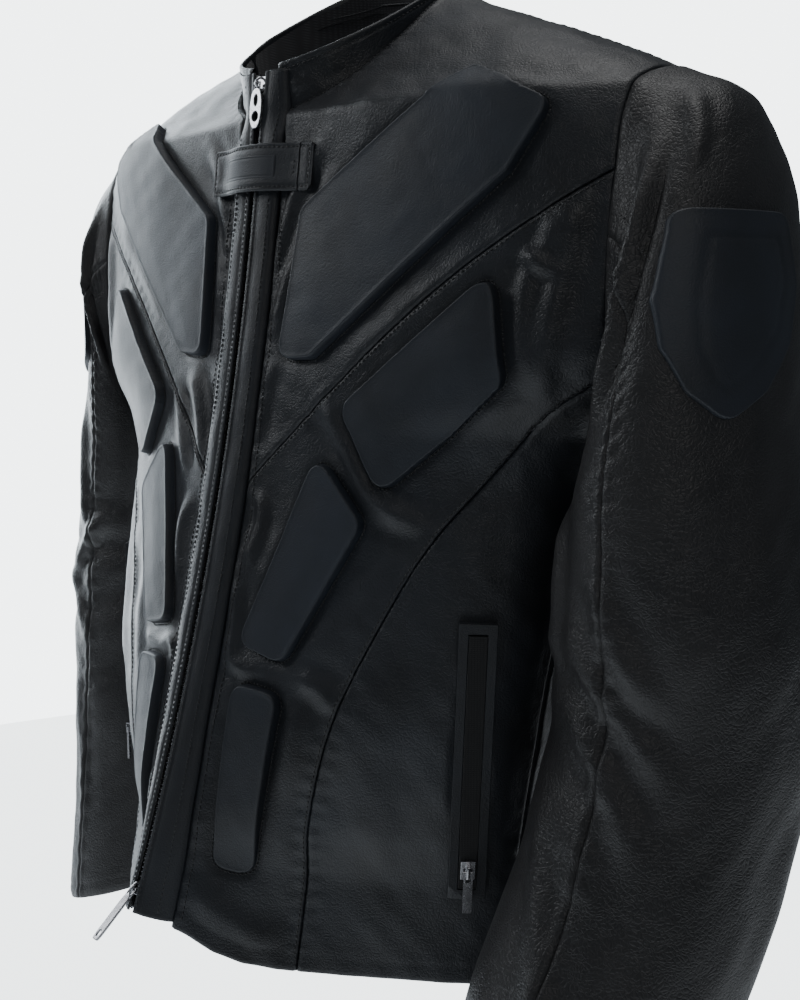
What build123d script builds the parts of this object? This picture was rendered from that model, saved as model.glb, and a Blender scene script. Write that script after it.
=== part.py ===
from build123d import *
import math
import os

# Leather riding jacket, hanging as it is worn, closed by a two-way zip.
# Frame: millimetres, +Z up, the front faces -Y, the wearer's left is +X.
# Origin: centre of the neck seat, where the shoulders carry the jacket.

os.makedirs("parts", exist_ok=True)

# ---------------------------------------------------------------- driving sizes
LEATHER = 3.0            # outer leather with its backing
LINING = 1.2
GAP = 0.6                # air between layers
CLEAR = 0.3              # air between pieces that touch only at their seams
PAD_RISE = 7.0           # height of a moulded pad over the leather
ZIP_RADIUS = 2500.0      # the zip lies on one shallow arc in the plane x = 0
ZIP_CENTRE_Y = -2579.0
ZIP_CENTRE_Z = 207.0
ZIP_TOP = -34.0          # heights of the two ends of the chain
ZIP_BOTTOM = -636.0
HEM_FRONT = -638.0       # the hem is cut higher at the zip than at the sides
HEM_SIDE = -668.0
NECK_HALF_WIDTH = 80.0
NECK_FRONT_Y = -90.0
NECK_BACK_Y = 86.0
NECK_FRONT_Z = -66.0
NECK_BACK_Z = 48.0
PLACKET_EDGE = 24.0      # half width of the strip that covers the zip
LIP_EDGE = 2.4           # half width of the slit between the two strips
ARMHOLE_X = 278.0        # plane of the armhole seams
SEAM_FRONT_Y = 22.0      # shoulder seam
SECTION_POWER = 2.3      # fullness of the body's cross-section

# Body levels: height, half width, y of the side line, y of the back, sharpness of the front keel
BODY_LEVELS = [
    (-690.0, 214.0, -78.0, 86.0, 0.95),
    (-605.0, 218.0, -64.0, 90.0, 0.85),
    (-560.0, 220.0, -56.0, 92.0, 0.60),
    (-480.0, 223.0, -42.0, 98.0, 0.30),
    (-400.0, 228.0, -25.0, 108.0, 0.20),
    (-330.0, 233.0, -12.0, 122.0, 0.15),
    (-290.0, 248.0, -5.0, 128.0, 0.12),
    (-262.0, 280.0, 0.0, 131.0, 0.10),
    (-225.0, 308.0, 4.0, 133.0, 0.10),
    (-150.0, 318.0, 8.0, 134.0, 0.10),
    (-100.0, 316.0, 10.0, 130.0, 0.10),
    (-70.0, 302.0, 12.0, 124.0, 0.10),
    (-52.0, 276.0, 14.0, 118.0, 0.10),
    (-34.0, 240.0, 16.0, 112.0, 0.10),
    (-6.0, 168.0, 22.0, 104.0, 0.10),
    (22.0, 98.0, 30.0, 98.0, 0.10),
    (48.0, 44.0, 50.0, 90.0, 0.10),
]

# Sleeve rings: outer point (x, z), inner point (x, z), centre y, half depth in y
LEFT_SLEEVE = [
    (278.6, -54.0, 278.6, -262.0, 12.0, 66.0),
    (326.0, -72.0, 276.5, -276.0, 10.0, 78.0),
    (348.0, -112.0, 269.5, -296.0, 6.0, 86.0),
    (362.0, -175.0, 259.0, -320.0, 2.0, 92.0),
    (376.0, -270.0, 247.0, -352.0, -4.0, 96.0),
    (394.0, -370.0, 241.0, -398.0, -10.0, 96.0),
    (400.0, -455.0, 238.0, -452.0, -12.0, 92.0),
    (394.0, -560.0, 236.0, -535.0, -38.0, 90.0),
    (378.0, -680.0, 232.0, -640.0, -92.0, 86.0),
    (356.0, -800.0, 232.0, -755.0, -138.0, 72.0),
]
RIGHT_SLEEVE = [
    (278.6, -54.0, 278.6, -262.0, 12.0, 66.0),
    (320.0, -74.0, 276.5, -276.0, 14.0, 74.0),
    (336.0, -114.0, 269.5, -296.0, 20.0, 78.0),
    (346.0, -178.0, 259.0, -320.0, 24.0, 81.0),
    (364.0, -270.0, 247.0, -352.0, 28.0, 84.0),
    (390.0, -370.0, 241.0, -398.0, 28.0, 84.0),
    (400.0, -455.0, 238.0, -452.0, 24.0, 84.0),
    (392.0, -560.0, 236.0, -535.0, 10.0, 80.0),
    (374.0, -680.0, 234.0, -640.0, -8.0, 76.0),
    (356.0, -800.0, 234.0, -755.0, -34.0, 68.0),
]
ELBOW_Z = -452.0         # height of the elbow joint
ELBOW_GAP = 0.6
SLEEVE_SEAM = [(279, -158), (302, -172), (312, -196), (316, -236), (316, -300), (321, -378),
               (322, -450), (319, -548), (309, -660), (298, -778), (296, -900)]

# Outlines on the left front, (x, z), seen from the front
SEAM_DIAGONAL = [(330, -88), (237, -143), (169, -191), (94, -257), (20, -332)]
SEAM_LOWER = [(330, -215), (278, -243), (231, -277), (205, -312), (171, -360), (148, -414),
              (125, -472), (111, -532), (103, -591), (105, -720)]
CHEST_PAD = [(175, -50), (52, -134), (44, -240), (76, -238), (216, -119), (240, -76)]
RIB_PAD = [(212, -177), (104, -270), (138, -329), (222, -250)]
WAIST_PAD = [(88, -300), (130, -348), (82, -450), (42, -440)]
HIP_PAD = [(44, -466), (84, -470), (70, -604), (42, -600)]
SHIELD_PAD = [(-66, -147), (8, -147), (11, -190), (-4, -225), (-30, -252), (-59, -269),
              (-77, -251), (-83, -226), (-81, -199), (-75, -176)]
SHIELD_CORNER = 5.0
SHIELD_FROM = 322.0      # the shield lies wholly outside this x
SHIELD_RIGHT_SHIFT = 22.0  # the right arm hangs further back, and its shield with it
PAD_CORNER = 9.0

POCKET_TOP = (203.0, -415.0)
POCKET_BOTTOM = (198.0, -597.0)
POCKET_TRAVEL = 150.0


# ---------------------------------------------------------------- shared shape functions
def level_value(z, column):
    """Value of one column of BODY_LEVELS at height z, straight between levels."""
    if z <= BODY_LEVELS[0][0]:
        return BODY_LEVELS[0][column]
    for low, high in zip(BODY_LEVELS, BODY_LEVELS[1:]):
        if z <= high[0]:
            share = (z - low[0]) / (high[0] - low[0])
            return low[column] + (high[column] - low[column]) * share
    return BODY_LEVELS[-1][column]


def zip_y(z):
    """y of the zip's arc at height z."""
    return ZIP_CENTRE_Y + math.sqrt(ZIP_RADIUS**2 - (z - ZIP_CENTRE_Z) ** 2)


def keel_y(z):
    """y of the front's centre line: the zip's arc, then back to the shoulder line."""
    if z <= NECK_FRONT_Z:
        return zip_y(z)
    share = min(1.0, (z - NECK_FRONT_Z) / (NECK_BACK_Z - NECK_FRONT_Z))
    return zip_y(NECK_FRONT_Z) + (20.0 - zip_y(NECK_FRONT_Z)) * share


def front_y(x, z):
    """y of the leather's outer face on the front, at (x, z)."""
    share = min(1.0, abs(x) / level_value(z, 1))
    side = level_value(z, 2)
    keel_share = level_value(z, 4)
    round_part = (1.0 - share**SECTION_POWER) ** (1.0 / SECTION_POWER)
    depth = (1.0 - keel_share) * round_part + keel_share * (1.0 - share)
    return side - (side - keel_y(z)) * depth


def section_points(z, grow, front):
    """Half of the body's outline at height z, from +x to -x, moved outwards by grow."""
    half = level_value(z, 1) + grow
    side = level_value(z, 2)
    reach = (side - keel_y(z) if front else level_value(z, 3) - side) + grow
    keel_share = level_value(z, 4) if front else 0.0
    points = []
    for step in range(17):
        angle = math.pi * step / 16
        x = half * math.copysign(abs(math.cos(angle)) ** (2 / SECTION_POWER), math.cos(angle))
        share = abs(x) / half
        round_part = max(0.0, 1.0 - share**SECTION_POWER) ** (1.0 / SECTION_POWER)
        depth = reach * ((1.0 - keel_share) * round_part + keel_share * (1.0 - share))
        points.append((x, side - depth if front else side + depth))
    return points


def lifted(z, grow):
    """Height of a level moved outwards: the shoulders slope, so they also move up."""
    share = min(1.0, max(0.0, (z + 150.0) / 80.0))
    return z + grow * share


def body_solid(grow):
    """Solid body of the jacket, its outer face moved outwards by grow."""
    with BuildPart() as solid:
        for level in BODY_LEVELS:
            with BuildSketch(Plane.XY.offset(lifted(level[0], grow))):
                with BuildLine():
                    Spline(*section_points(level[0], grow, True))
                    Spline(*section_points(level[0], grow, False))
                make_face()
        loft(ruled=True)
    return solid.part


def ring_halves(half_length, half_depth):
    """Two halves of an elliptical ring, as points in the ring's own plane."""
    points = []
    for step in range(17):
        angle = 2 * math.pi * step / 16
        points.append((half_length * math.cos(angle), half_depth * math.sin(angle)))
    return points[:9], points[8:]


def sleeve_solid(rings, side, grow):
    """Solid sleeve, side = 1 for the wearer's left and -1 for the right."""
    with BuildPart() as solid:
        for outer_x, outer_z, inner_x, inner_z, centre_y, depth in rings:
            centre = (side * (outer_x + inner_x) / 2, centre_y, (outer_z + inner_z) / 2)
            across = (side * (outer_x - inner_x), 0, outer_z - inner_z)
            length = math.hypot(across[0], across[2])
            along = (across[2] * side, 0, -across[0] * side)
            rear, face = ring_halves(length / 2 + grow, depth + grow)
            with BuildSketch(Plane(origin=centre, x_dir=across, z_dir=along)):
                with BuildLine():
                    Spline(*rear)
                    Spline(*face)
                make_face()
        loft(ruled=True)
    return solid.part


def chain_plane(z):
    """Plane on the zip's arc at height z: x across, y up the chain, z out of the jacket."""
    angle = math.asin((z - ZIP_CENTRE_Z) / ZIP_RADIUS)
    return Plane(
        origin=(0, zip_y(z), z),
        x_dir=(1, 0, 0),
        z_dir=(0, -math.cos(angle), -math.sin(angle)),
    )


def chain_band(x_low, x_high, rise_low, rise_high, z_low, z_high):
    """Strip along the zip's arc, rise measured out of the jacket from the chain."""
    with BuildPart() as band:
        with BuildSketch(Plane.YZ.offset(x_low)):
            with Locations((ZIP_CENTRE_Y, ZIP_CENTRE_Z)):
                Circle(ZIP_RADIUS - rise_low)
                Circle(ZIP_RADIUS - rise_high, mode=Mode.SUBTRACT)
            with Locations(((zip_y(z_low) + zip_y(z_high)) / 2, (z_low + z_high) / 2)):
                Rectangle(400, z_high - z_low, mode=Mode.INTERSECT)
        extrude(amount=x_high - x_low)
    return band.part


def prism(outline, corner=0.0, y_low=-400.0, y_high=300.0):
    """Straight prism along Y on an (x, z) outline, its corners rounded."""
    with BuildPart() as solid:
        with BuildSketch(Plane.XZ.offset(-y_high)):
            with BuildLine():
                Polyline(*outline, close=True)
            make_face()
            if corner:
                fillet(vertices(), corner)
        extrude(amount=y_high - y_low)
    return solid.part


def save(part, name):
    """Labels a finished piece and writes it."""
    part.label = name
    export_step(part, f"parts/{name}.step")


def save_pair(part, name):
    """Writes a left piece and its mirror image."""
    save(part, f"{name}_left")
    with BuildPart() as other:
        add(part)
        mirror(about=Plane.YZ, mode=Mode.REPLACE)
    save(other.part, f"{name}_right")


# ---------------------------------------------------------------- cutting tools
# Space in front of the side and shoulder seams
with BuildPart() as front_zone:
    with BuildSketch(Plane.YZ.offset(-450)):
        with BuildLine():
            Polyline(
                (-500, 200), (SEAM_FRONT_Y, 200), (SEAM_FRONT_Y, -60), (5, -262), (-40, -480),
                (-78, -690), (-78, -950), (-500, -950), close=True,
            )
        make_face()
    extrude(amount=900)

# Everything below the hem line
HEM_LINE = [(-500, HEM_SIDE), (-100, HEM_SIDE), (-62, -664), (-24, -644), (0, HEM_FRONT),
            (24, -644), (62, -664), (100, HEM_SIDE), (500, HEM_SIDE), (500, -950), (-500, -950)]
below_hem = prism(HEM_LINE)

# The neck opening, square to the tilted neckline
neck_tilt = math.atan2(NECK_BACK_Z - NECK_FRONT_Z, NECK_BACK_Y - NECK_FRONT_Y)
neck_length = math.hypot(NECK_BACK_Z - NECK_FRONT_Z, NECK_BACK_Y - NECK_FRONT_Y) / 2
neck_plane = Plane(
    origin=(0, (NECK_FRONT_Y + NECK_BACK_Y) / 2, (NECK_FRONT_Z + NECK_BACK_Z) / 2),
    x_dir=(1, 0, 0),
    z_dir=(0, -math.sin(neck_tilt), math.cos(neck_tilt)),
)
# The hole is cut from the neckline's plane upwards, so the back keeps its full height below it
with BuildPart() as neck_hole:
    with BuildSketch(neck_plane.offset(-CLEAR)):
        Ellipse(NECK_HALF_WIDTH, neck_length)
    extrude(amount=260)

COLLAR_TOP_FRONT = (-94.0, -30.0)
COLLAR_TOP_BACK = (84.0, 75.0)
COLLAR_TOP_HALF = 80.0


def collar_solid(grow):
    """Solid stand collar between the neckline and its upper edge."""
    top_tilt = math.atan2(COLLAR_TOP_BACK[1] - COLLAR_TOP_FRONT[1], COLLAR_TOP_BACK[0] - COLLAR_TOP_FRONT[0])
    top_length = math.dist(COLLAR_TOP_FRONT, COLLAR_TOP_BACK) / 2
    top_y = (COLLAR_TOP_FRONT[0] + COLLAR_TOP_BACK[0]) / 2
    top_z = (COLLAR_TOP_FRONT[1] + COLLAR_TOP_BACK[1]) / 2
    top_plane = Plane(
        origin=(0, top_y, top_z),
        x_dir=(1, 0, 0),
        z_dir=(0, -math.sin(top_tilt), math.cos(top_tilt)),
    )
    with BuildPart() as solid:
        for plane, half, length in (
            (neck_plane, NECK_HALF_WIDTH, neck_length),
            (top_plane, COLLAR_TOP_HALF, top_length),
        ):
            near, far = ring_halves(half + grow, length + grow)
            with BuildSketch(plane):
                with BuildLine():
                    Spline(*near)
                    Spline(*far)
                make_face()
        loft(ruled=True)
    return solid.part


# The slab between the two armhole planes
with BuildPart() as between_armholes:
    with Locations((0, 0, -300)):
        Box(2 * ARMHOLE_X, 900, 1300)


def trimmed(part):
    """A body layer cut at the armholes, the neck and the hem."""
    with BuildPart() as cut:
        add(part)
        add(between_armholes.part, mode=Mode.INTERSECT)
        add(neck_hole.part, mode=Mode.SUBTRACT)
        add(collar_solid(CLEAR), mode=Mode.SUBTRACT)
        add(below_hem, mode=Mode.SUBTRACT)
    return cut.part


def layer(outer_grow, inner_grow):
    """Body layer between two offsets of the leather's face."""
    with BuildPart() as skin:
        add(body_solid(outer_grow))
        add(body_solid(inner_grow), mode=Mode.SUBTRACT)
    return skin.part


def overlap(part, *tools):
    """The part inside every tool."""
    with BuildPart() as kept:
        add(part)
        for tool in tools:
            add(tool, mode=Mode.INTERSECT)
    return kept.part


def without(part, *tools):
    """The part outside every tool."""
    with BuildPart() as kept:
        add(part)
        for tool in tools:
            add(tool, mode=Mode.SUBTRACT)
    return kept.part


# ---------------------------------------------------------------- leather panels of the body
leather = trimmed(layer(0.0, -LEATHER))
front_leather = overlap(leather, front_zone.part)
back_leather = without(leather, front_zone.part)

EDGE = PLACKET_EDGE + 0.3
yoke_zone = prism([(EDGE, 200), (EDGE, -329), *reversed(SEAM_DIAGONAL[:-1]), (330, 200)])
middle_zone = prism([(EDGE, -329), *reversed(SEAM_DIAGONAL[:-1]), *SEAM_LOWER, (EDGE, -720)])
side_zone = prism([*SEAM_LOWER, (400, -720), (400, -215)])
save_pair(overlap(front_leather, yoke_zone), "front_yoke")
save_pair(overlap(front_leather, middle_zone), "front_middle")
save_pair(overlap(front_leather, side_zone), "front_side")

BACK_YOKE_Z = -150.0
BACK_SEAM = [(330, -205), (278, -214), (214, -262), (168, -330), (138, -420), (118, -540), (112, -720)]
back_yoke_zone = prism([(-400, BACK_YOKE_Z), (400, BACK_YOKE_Z), (400, 200), (-400, 200)])
back_centre_zone = prism([(0, BACK_YOKE_Z), (400, BACK_YOKE_Z), (400, -205), *BACK_SEAM, (0, -720)])
back_side_zone = prism([*BACK_SEAM, (400, -720), (400, -205)])
save(overlap(back_leather, back_yoke_zone), "back_yoke")
save_pair(overlap(back_leather, back_centre_zone), "back_centre")
save_pair(overlap(back_leather, back_side_zone), "back_side")

# Body lining, one bag inside the leather, open at the front
zip_gap = prism([(-EDGE, 200), (EDGE, 200), (EDGE, -900), (-EDGE, -900)], y_low=-400, y_high=0)
lining = trimmed(layer(-LEATHER - GAP, -LEATHER - GAP - LINING))
save(without(lining, zip_gap), "lining_body")

# Moulded pads, which stand proud of the front panels
pad_layer = overlap(layer(PAD_RISE, 0.3), front_zone.part)
for pad_name, pad_outline in (
    ("chest_pad", CHEST_PAD),
    ("rib_pad", RIB_PAD),
    ("waist_pad", WAIST_PAD),
    ("hip_pad", HIP_PAD),
):
    save_pair(overlap(pad_layer, prism(pad_outline, PAD_CORNER)), pad_name)

# ---------------------------------------------------------------- collar
save(without(collar_solid(0.0), collar_solid(-LEATHER), zip_gap), "collar_outer")
save(
    without(collar_solid(-LEATHER - GAP), collar_solid(-LEATHER - GAP - LINING), zip_gap),
    "collar_lining",
)

# Hanger loop, a short strap on the inside of the back neck
LOOP_Z = 30.0            # lower edge of the strap
LOOP_HEIGHT = 8.0
LOOP_WIDTH = 70.0
LOOP_THICK = 1.2
LOOP_ARM = 6.0           # width of the two ends that are sewn down
LOOP_FRONT_Y = 63.5
LOOP_REACH = 32.0        # longer than the ends need, then cut back to the lining
with BuildPart() as loop_blank:
    with BuildSketch(Plane.XY.offset(LOOP_Z)):
        with Locations((0, LOOP_FRONT_Y + LOOP_REACH / 2)):
            Rectangle(LOOP_WIDTH, LOOP_REACH)
            with Locations((0, LOOP_THICK)):
                Rectangle(LOOP_WIDTH - 2 * LOOP_ARM, LOOP_REACH, mode=Mode.SUBTRACT)
    extrude(amount=LOOP_HEIGHT)
LAYERS = LEATHER + GAP + LINING + CLEAR
hanger_loop = overlap(loop_blank.part, body_solid(-LAYERS))
hanger_loop = without(hanger_loop, collar_solid(CLEAR))
save(hanger_loop, "hanger_loop")

# ---------------------------------------------------------------- front zip
TOOTH = (4.5, 1.5, 2.6)      # across, along the chain, through
TOOTH_INNER = 0.9            # each row stops short of the middle
TOOTH_PITCH = 3.2
TAPE = 0.8
SLIDER_HALF = 6.2
LIP_RISE = (3.8, 5.6)
WALL_EDGE = 7.2

for side_name, side in (("left", 1), ("right", -1)):
    edges = [side * LIP_EDGE, side * WALL_EDGE, side * 14.0, side * PLACKET_EDGE]
    with BuildPart() as placket:
        add(chain_band(min(edges[0], edges[3]), max(edges[0], edges[3]), *LIP_RISE, ZIP_BOTTOM, ZIP_TOP))
        add(chain_band(min(edges[1], edges[3]), max(edges[1], edges[3]), 0.6, 4.0, ZIP_BOTTOM, ZIP_TOP))
        add(chain_band(min(edges[2], edges[3]), max(edges[2], edges[3]), -6.0, 1.0, ZIP_BOTTOM, ZIP_TOP))
    save(placket.part, f"placket_{side_name}")

    tape_edges = sorted((side * (TOOTH_INNER + TOOTH[0]), side * 13.8))
    tape = chain_band(*tape_edges, -TAPE / 2, TAPE / 2, ZIP_BOTTOM, ZIP_TOP)
    save(tape, f"zip_tape_{side_name}")

    tooth_centre = side * (TOOTH_INNER + TOOTH[0] / 2)
    first = ZIP_BOTTOM + (14.0 if side > 0 else 14.0 + TOOTH_PITCH / 2)
    count = int((ZIP_TOP - 4.0 - first) / TOOTH_PITCH)
    tooth_planes = [chain_plane(first + number * TOOTH_PITCH) for number in range(count)]
    with BuildPart() as teeth:
        with Locations(*tooth_planes):
            with Locations((tooth_centre, 0, 0)):
                Box(*TOOTH)
    save(teeth.part, f"zip_teeth_{side_name}")

# Foot of the zip: a box on the right tape and a pin on the left one
with BuildPart() as zip_foot:
    with Locations(chain_plane(ZIP_BOTTOM + 6.5)):
        with Locations((-TOOTH_INNER - TOOTH[0] / 2, 0, 0)):
            Box(TOOTH[0], 11, 2.8)
        with Locations((TOOTH_INNER + 1.3, 0, 0)):
            Box(2.2, 11, 2.2)
save(zip_foot.part, "zip_foot")


SLIDER_LENGTH = 10.5
SLIDER_PLATE = 1.5       # thickness of its two plates
SLIDER_PLATE_RISE = 2.65
BRIDGE_WIDTH = 2.8
BRIDGE_LENGTH = 9.0
BRIDGE_RISE = (3.2, 9.2)
WINDOW_LENGTH = 6.4      # the pull's bar turns in this window under the bridge
WINDOW_RISE = (4.6, 8.2)


def slider(z):
    """Slider on the chain at height z."""
    flange_x = SLIDER_HALF - 0.25
    with BuildPart() as body:
        with Locations(chain_plane(z)):
            for face in (1, -1):
                with Locations((0, 0, face * SLIDER_PLATE_RISE)):
                    Box(2 * SLIDER_HALF, SLIDER_LENGTH, SLIDER_PLATE)
                for edge in (1, -1):
                    with Locations((edge * flange_x, 0, face * 1.4)):
                        Box(0.5, SLIDER_LENGTH, 1.2)
            # wedge that parts the teeth
            Box(1.2, 5.0, 4.4)
            with Locations((0, 0, sum(BRIDGE_RISE) / 2)):
                Box(BRIDGE_WIDTH, BRIDGE_LENGTH, BRIDGE_RISE[1] - BRIDGE_RISE[0])
            with Locations((0, 0, sum(WINDOW_RISE) / 2)):
                Box(BRIDGE_WIDTH + 1.2, WINDOW_LENGTH, WINDOW_RISE[1] - WINDOW_RISE[0], mode=Mode.SUBTRACT)
    return body.part


PULL_PIN_RISE = 7.2      # height of the pull's bar over the chain
PULL_PIN_RADIUS = 0.8
PULL_PIN_LENGTH = 7.0
PULL_ARM_X = 2.75        # the arms pass either side of the bridge
PULL_ARM_WIDTH = 1.5
PULL_THICK = 1.6
RING_ARM = 9.0
RING_HALVES = (6.6, 13.0)
RING_CENTRE = -20.0
EYE_RADIUS = 3.6
EYE_CENTRE = -24.0
BAR_ARM = 8.0
BAR_SIZE = (7.0, 36.0, 2.2)
BAR_CENTRE = -25.0


def ring_pull(z):
    """Flat oval pull with a round eye, hanging down the chain from its bar."""
    with BuildPart() as body:
        with Locations(chain_plane(z)):
            with Locations((0, 0, PULL_PIN_RISE)):
                Cylinder(PULL_PIN_RADIUS, PULL_PIN_LENGTH, rotation=(0, 90, 0))
            for arm in (1, -1):
                with Locations((arm * PULL_ARM_X, -RING_ARM / 2, PULL_PIN_RISE)):
                    Box(PULL_ARM_WIDTH, RING_ARM, PULL_THICK)
        with BuildSketch(chain_plane(z).offset(PULL_PIN_RISE - PULL_THICK / 2)):
            with Locations((0, RING_CENTRE)):
                Ellipse(*RING_HALVES)
            with Locations((0, EYE_CENTRE)):
                Circle(EYE_RADIUS, mode=Mode.SUBTRACT)
        extrude(amount=PULL_THICK)
    return body.part


def bar_pull(z, tilt):
    """Straight bar pull, swung out from the chain by tilt degrees."""
    base = chain_plane(z)
    pin = base.offset(PULL_PIN_RISE)
    swung = pin.rotated((-tilt, 0, 0))
    with BuildPart() as body:
        with Locations(swung):
            Cylinder(PULL_PIN_RADIUS, PULL_PIN_LENGTH, rotation=(0, 90, 0))
            for arm in (1, -1):
                with Locations((arm * PULL_ARM_X, -BAR_ARM / 2, 0)):
                    Box(PULL_ARM_WIDTH, BAR_ARM, PULL_THICK)
            with Locations((0, BAR_CENTRE, 0)):
                Box(*BAR_SIZE)
    return body.part


TOP_SLIDER_Z = -42.0
BOTTOM_SLIDER_Z = -620.0
BOTTOM_PULL_TILT = 32.0
save(slider(TOP_SLIDER_Z), "top_slider")
save(ring_pull(TOP_SLIDER_Z), "top_pull")
save(slider(BOTTOM_SLIDER_Z), "bottom_slider")
save(bar_pull(BOTTOM_SLIDER_Z, BOTTOM_PULL_TILT), "bottom_pull")

# ---------------------------------------------------------------- throat tab
TAB_Z = -104.0
TAB_HALF_HEIGHT = 17.0
TAB_THICK = 2.8
TAB_CREST = 10.4         # height over the chain, so that a slider passes under it
TAB_FREE = -46.0
TAB_HINGE = 46.0
TAB_END = 58.0
SNAP_X = -36.0
TAB_PATH = [(TAB_FREE, 3.9), (-30, 3.9), (-12, TAB_CREST), (12, TAB_CREST), (30, 3.9), (TAB_HINGE, -1.4),
            (TAB_END, -1.9)]
tab_plane = chain_plane(TAB_Z)


def tab_strip(x_low, x_high):
    """Stretch of the arched strap between two x values."""
    upper = [(x, rise + TAB_THICK) for x, rise in reversed(TAB_PATH)]
    with BuildPart() as strip:
        with BuildSketch(Plane(origin=tab_plane.origin, x_dir=(1, 0, 0), z_dir=-tab_plane.y_dir)):
            with BuildLine():
                Polyline(*TAB_PATH, *upper, close=True)
            make_face()
            with Locations(((x_low + x_high) / 2, 0)):
                Rectangle(x_high - x_low, 100, mode=Mode.INTERSECT)
        extrude(amount=TAB_HALF_HEIGHT, both=True)
    return strip.part


def snap_disc(radius, rise_low, rise_high):
    """Round piece of the snap fastener between two heights over the chain."""
    with BuildPart() as disc:
        with Locations(tab_plane):
            with Locations((SNAP_X, 0, (rise_low + rise_high) / 2)):
                Cylinder(radius, rise_high - rise_low)
    return disc.part


save(tab_strip(TAB_FREE, TAB_HINGE - CLEAR), "throat_tab")
save(tab_strip(TAB_HINGE, TAB_END), "throat_tab_base")
with BuildPart() as throat_label:
    with Locations(tab_plane):
        with Locations((0, 0, TAB_CREST + TAB_THICK + 0.5)):
            Box(23.0, 20.0, 0.8)
save(throat_label.part, "throat_label")
save(without(snap_disc(5.0, 1.3, 3.8), snap_disc(2.3, 1.0, 3.2)), "snap_socket")
with BuildPart() as snap_stud:
    add(snap_disc(5.0, -0.6, 0.7))
    add(snap_disc(1.9, 0.7, 2.9))
save(snap_stud.part, "snap_stud")

# ---------------------------------------------------------------- sleeves
upper_cut = prism([(-500, ELBOW_Z + ELBOW_GAP / 2), (500, ELBOW_Z + ELBOW_GAP / 2), (500, 100), (-500, 100)])
ELBOW_LOW = ELBOW_Z - ELBOW_GAP / 2
lower_cut = prism([(-500, ELBOW_LOW), (500, ELBOW_LOW), (500, -950), (-500, -950)])
upper_linings = []
for side_name, side, rings in (("left", 1, LEFT_SLEEVE), ("right", -1, RIGHT_SLEEVE)):
    shell = without(sleeve_solid(rings, side, 0.0), sleeve_solid(rings, side, -LEATHER))
    zone_outline = [(200, -158), (200, 100), (600, 100), (600, -900), *reversed(SLEEVE_SEAM)]
    outer_zone = prism([(side * x, z) for x, z in zone_outline])
    upper = overlap(shell, upper_cut)
    lower = overlap(shell, lower_cut)
    save(overlap(upper, outer_zone), f"sleeve_top_{side_name}")
    save(without(upper, outer_zone), f"sleeve_under_{side_name}")
    save(overlap(lower, outer_zone), f"forearm_top_{side_name}")
    save(without(lower, outer_zone), f"forearm_under_{side_name}")
    inner = without(
        sleeve_solid(rings, side, -LEATHER - GAP),
        sleeve_solid(rings, side, -LEATHER - GAP - LINING),
    )
    upper_linings.append(overlap(inner, upper_cut))
    save(overlap(inner, lower_cut), f"forearm_lining_{side_name}")

    # Shield on the upper arm
    shift = 0.0 if side > 0 else SHIELD_RIGHT_SHIFT
    with BuildPart() as shield_zone:
        with BuildSketch(Plane.YZ.offset(side * SHIELD_FROM)):
            with BuildLine():
                Polyline(*[(y + shift, z) for y, z in SHIELD_PAD], close=True)
            make_face()
            fillet(vertices(), SHIELD_CORNER)
        extrude(amount=side * 200)
    raised = overlap(sleeve_solid(rings, side, PAD_RISE - 1.0), shield_zone.part)
    save(without(raised, sleeve_solid(rings, side, 0.3)), f"shield_pad_{side_name}")
with BuildPart() as lining_sleeves:
    for inner in upper_linings:
        add(inner)
save(lining_sleeves.part, "lining_upper_sleeves")

# ---------------------------------------------------------------- side pockets
POCKET_FACE = 6.0            # flat face of the welt over the pocket plane


def pocket_plane():
    """Plane on the left pocket's opening: x across, y up the zip, z out of the jacket."""
    top = Vector(POCKET_TOP[0], front_y(*POCKET_TOP), POCKET_TOP[1])
    bottom = Vector(POCKET_BOTTOM[0], front_y(*POCKET_BOTTOM), POCKET_BOTTOM[1])
    middle = (top + bottom) / 2
    reach = 5.0
    across = Vector(
        2 * reach,
        front_y(middle.X + reach, middle.Z) - front_y(middle.X - reach, middle.Z),
        0,
    )
    up = (top - bottom).normalized()
    out = across.cross(up).normalized()
    return Plane(origin=middle, x_dir=up.cross(out), z_dir=out)


def pocket_box(across, along, rise_low, rise_high, shift=0.0):
    """Box on the left pocket's plane, centred across it, shift along the zip."""
    with BuildPart() as box:
        with Locations(pocket_plane()):
            with Locations((0, shift, (rise_low + rise_high) / 2)):
                Box(across, along, rise_high - rise_low)
    return box.part


def save_both(part, name):
    """Writes a left piece and its mirror image as one file."""
    with BuildPart() as both:
        add(part)
        mirror(about=Plane.YZ)
    save(both.part, name)


WELT_SIZE = (26.0, 194.0)
CHANNEL_SIZE = (13.0, 180.0)
POCKET_ZIP_SIZE = (12.4, 178.0)
POCKET_ZIP_HALF = 0.4
POCKET_CHANNEL = pocket_box(*CHANNEL_SIZE, -20.0, 30.0)
welt = overlap(layer(10.0, CLEAR), pocket_box(*WELT_SIZE, -8.0, POCKET_FACE))
save_both(without(welt, POCKET_CHANNEL), "pocket_welts")
pocket_zip = pocket_box(*POCKET_ZIP_SIZE, POCKET_FACE - POCKET_ZIP_HALF, POCKET_FACE + POCKET_ZIP_HALF)
save_both(pocket_zip, "pocket_zips")

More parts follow.
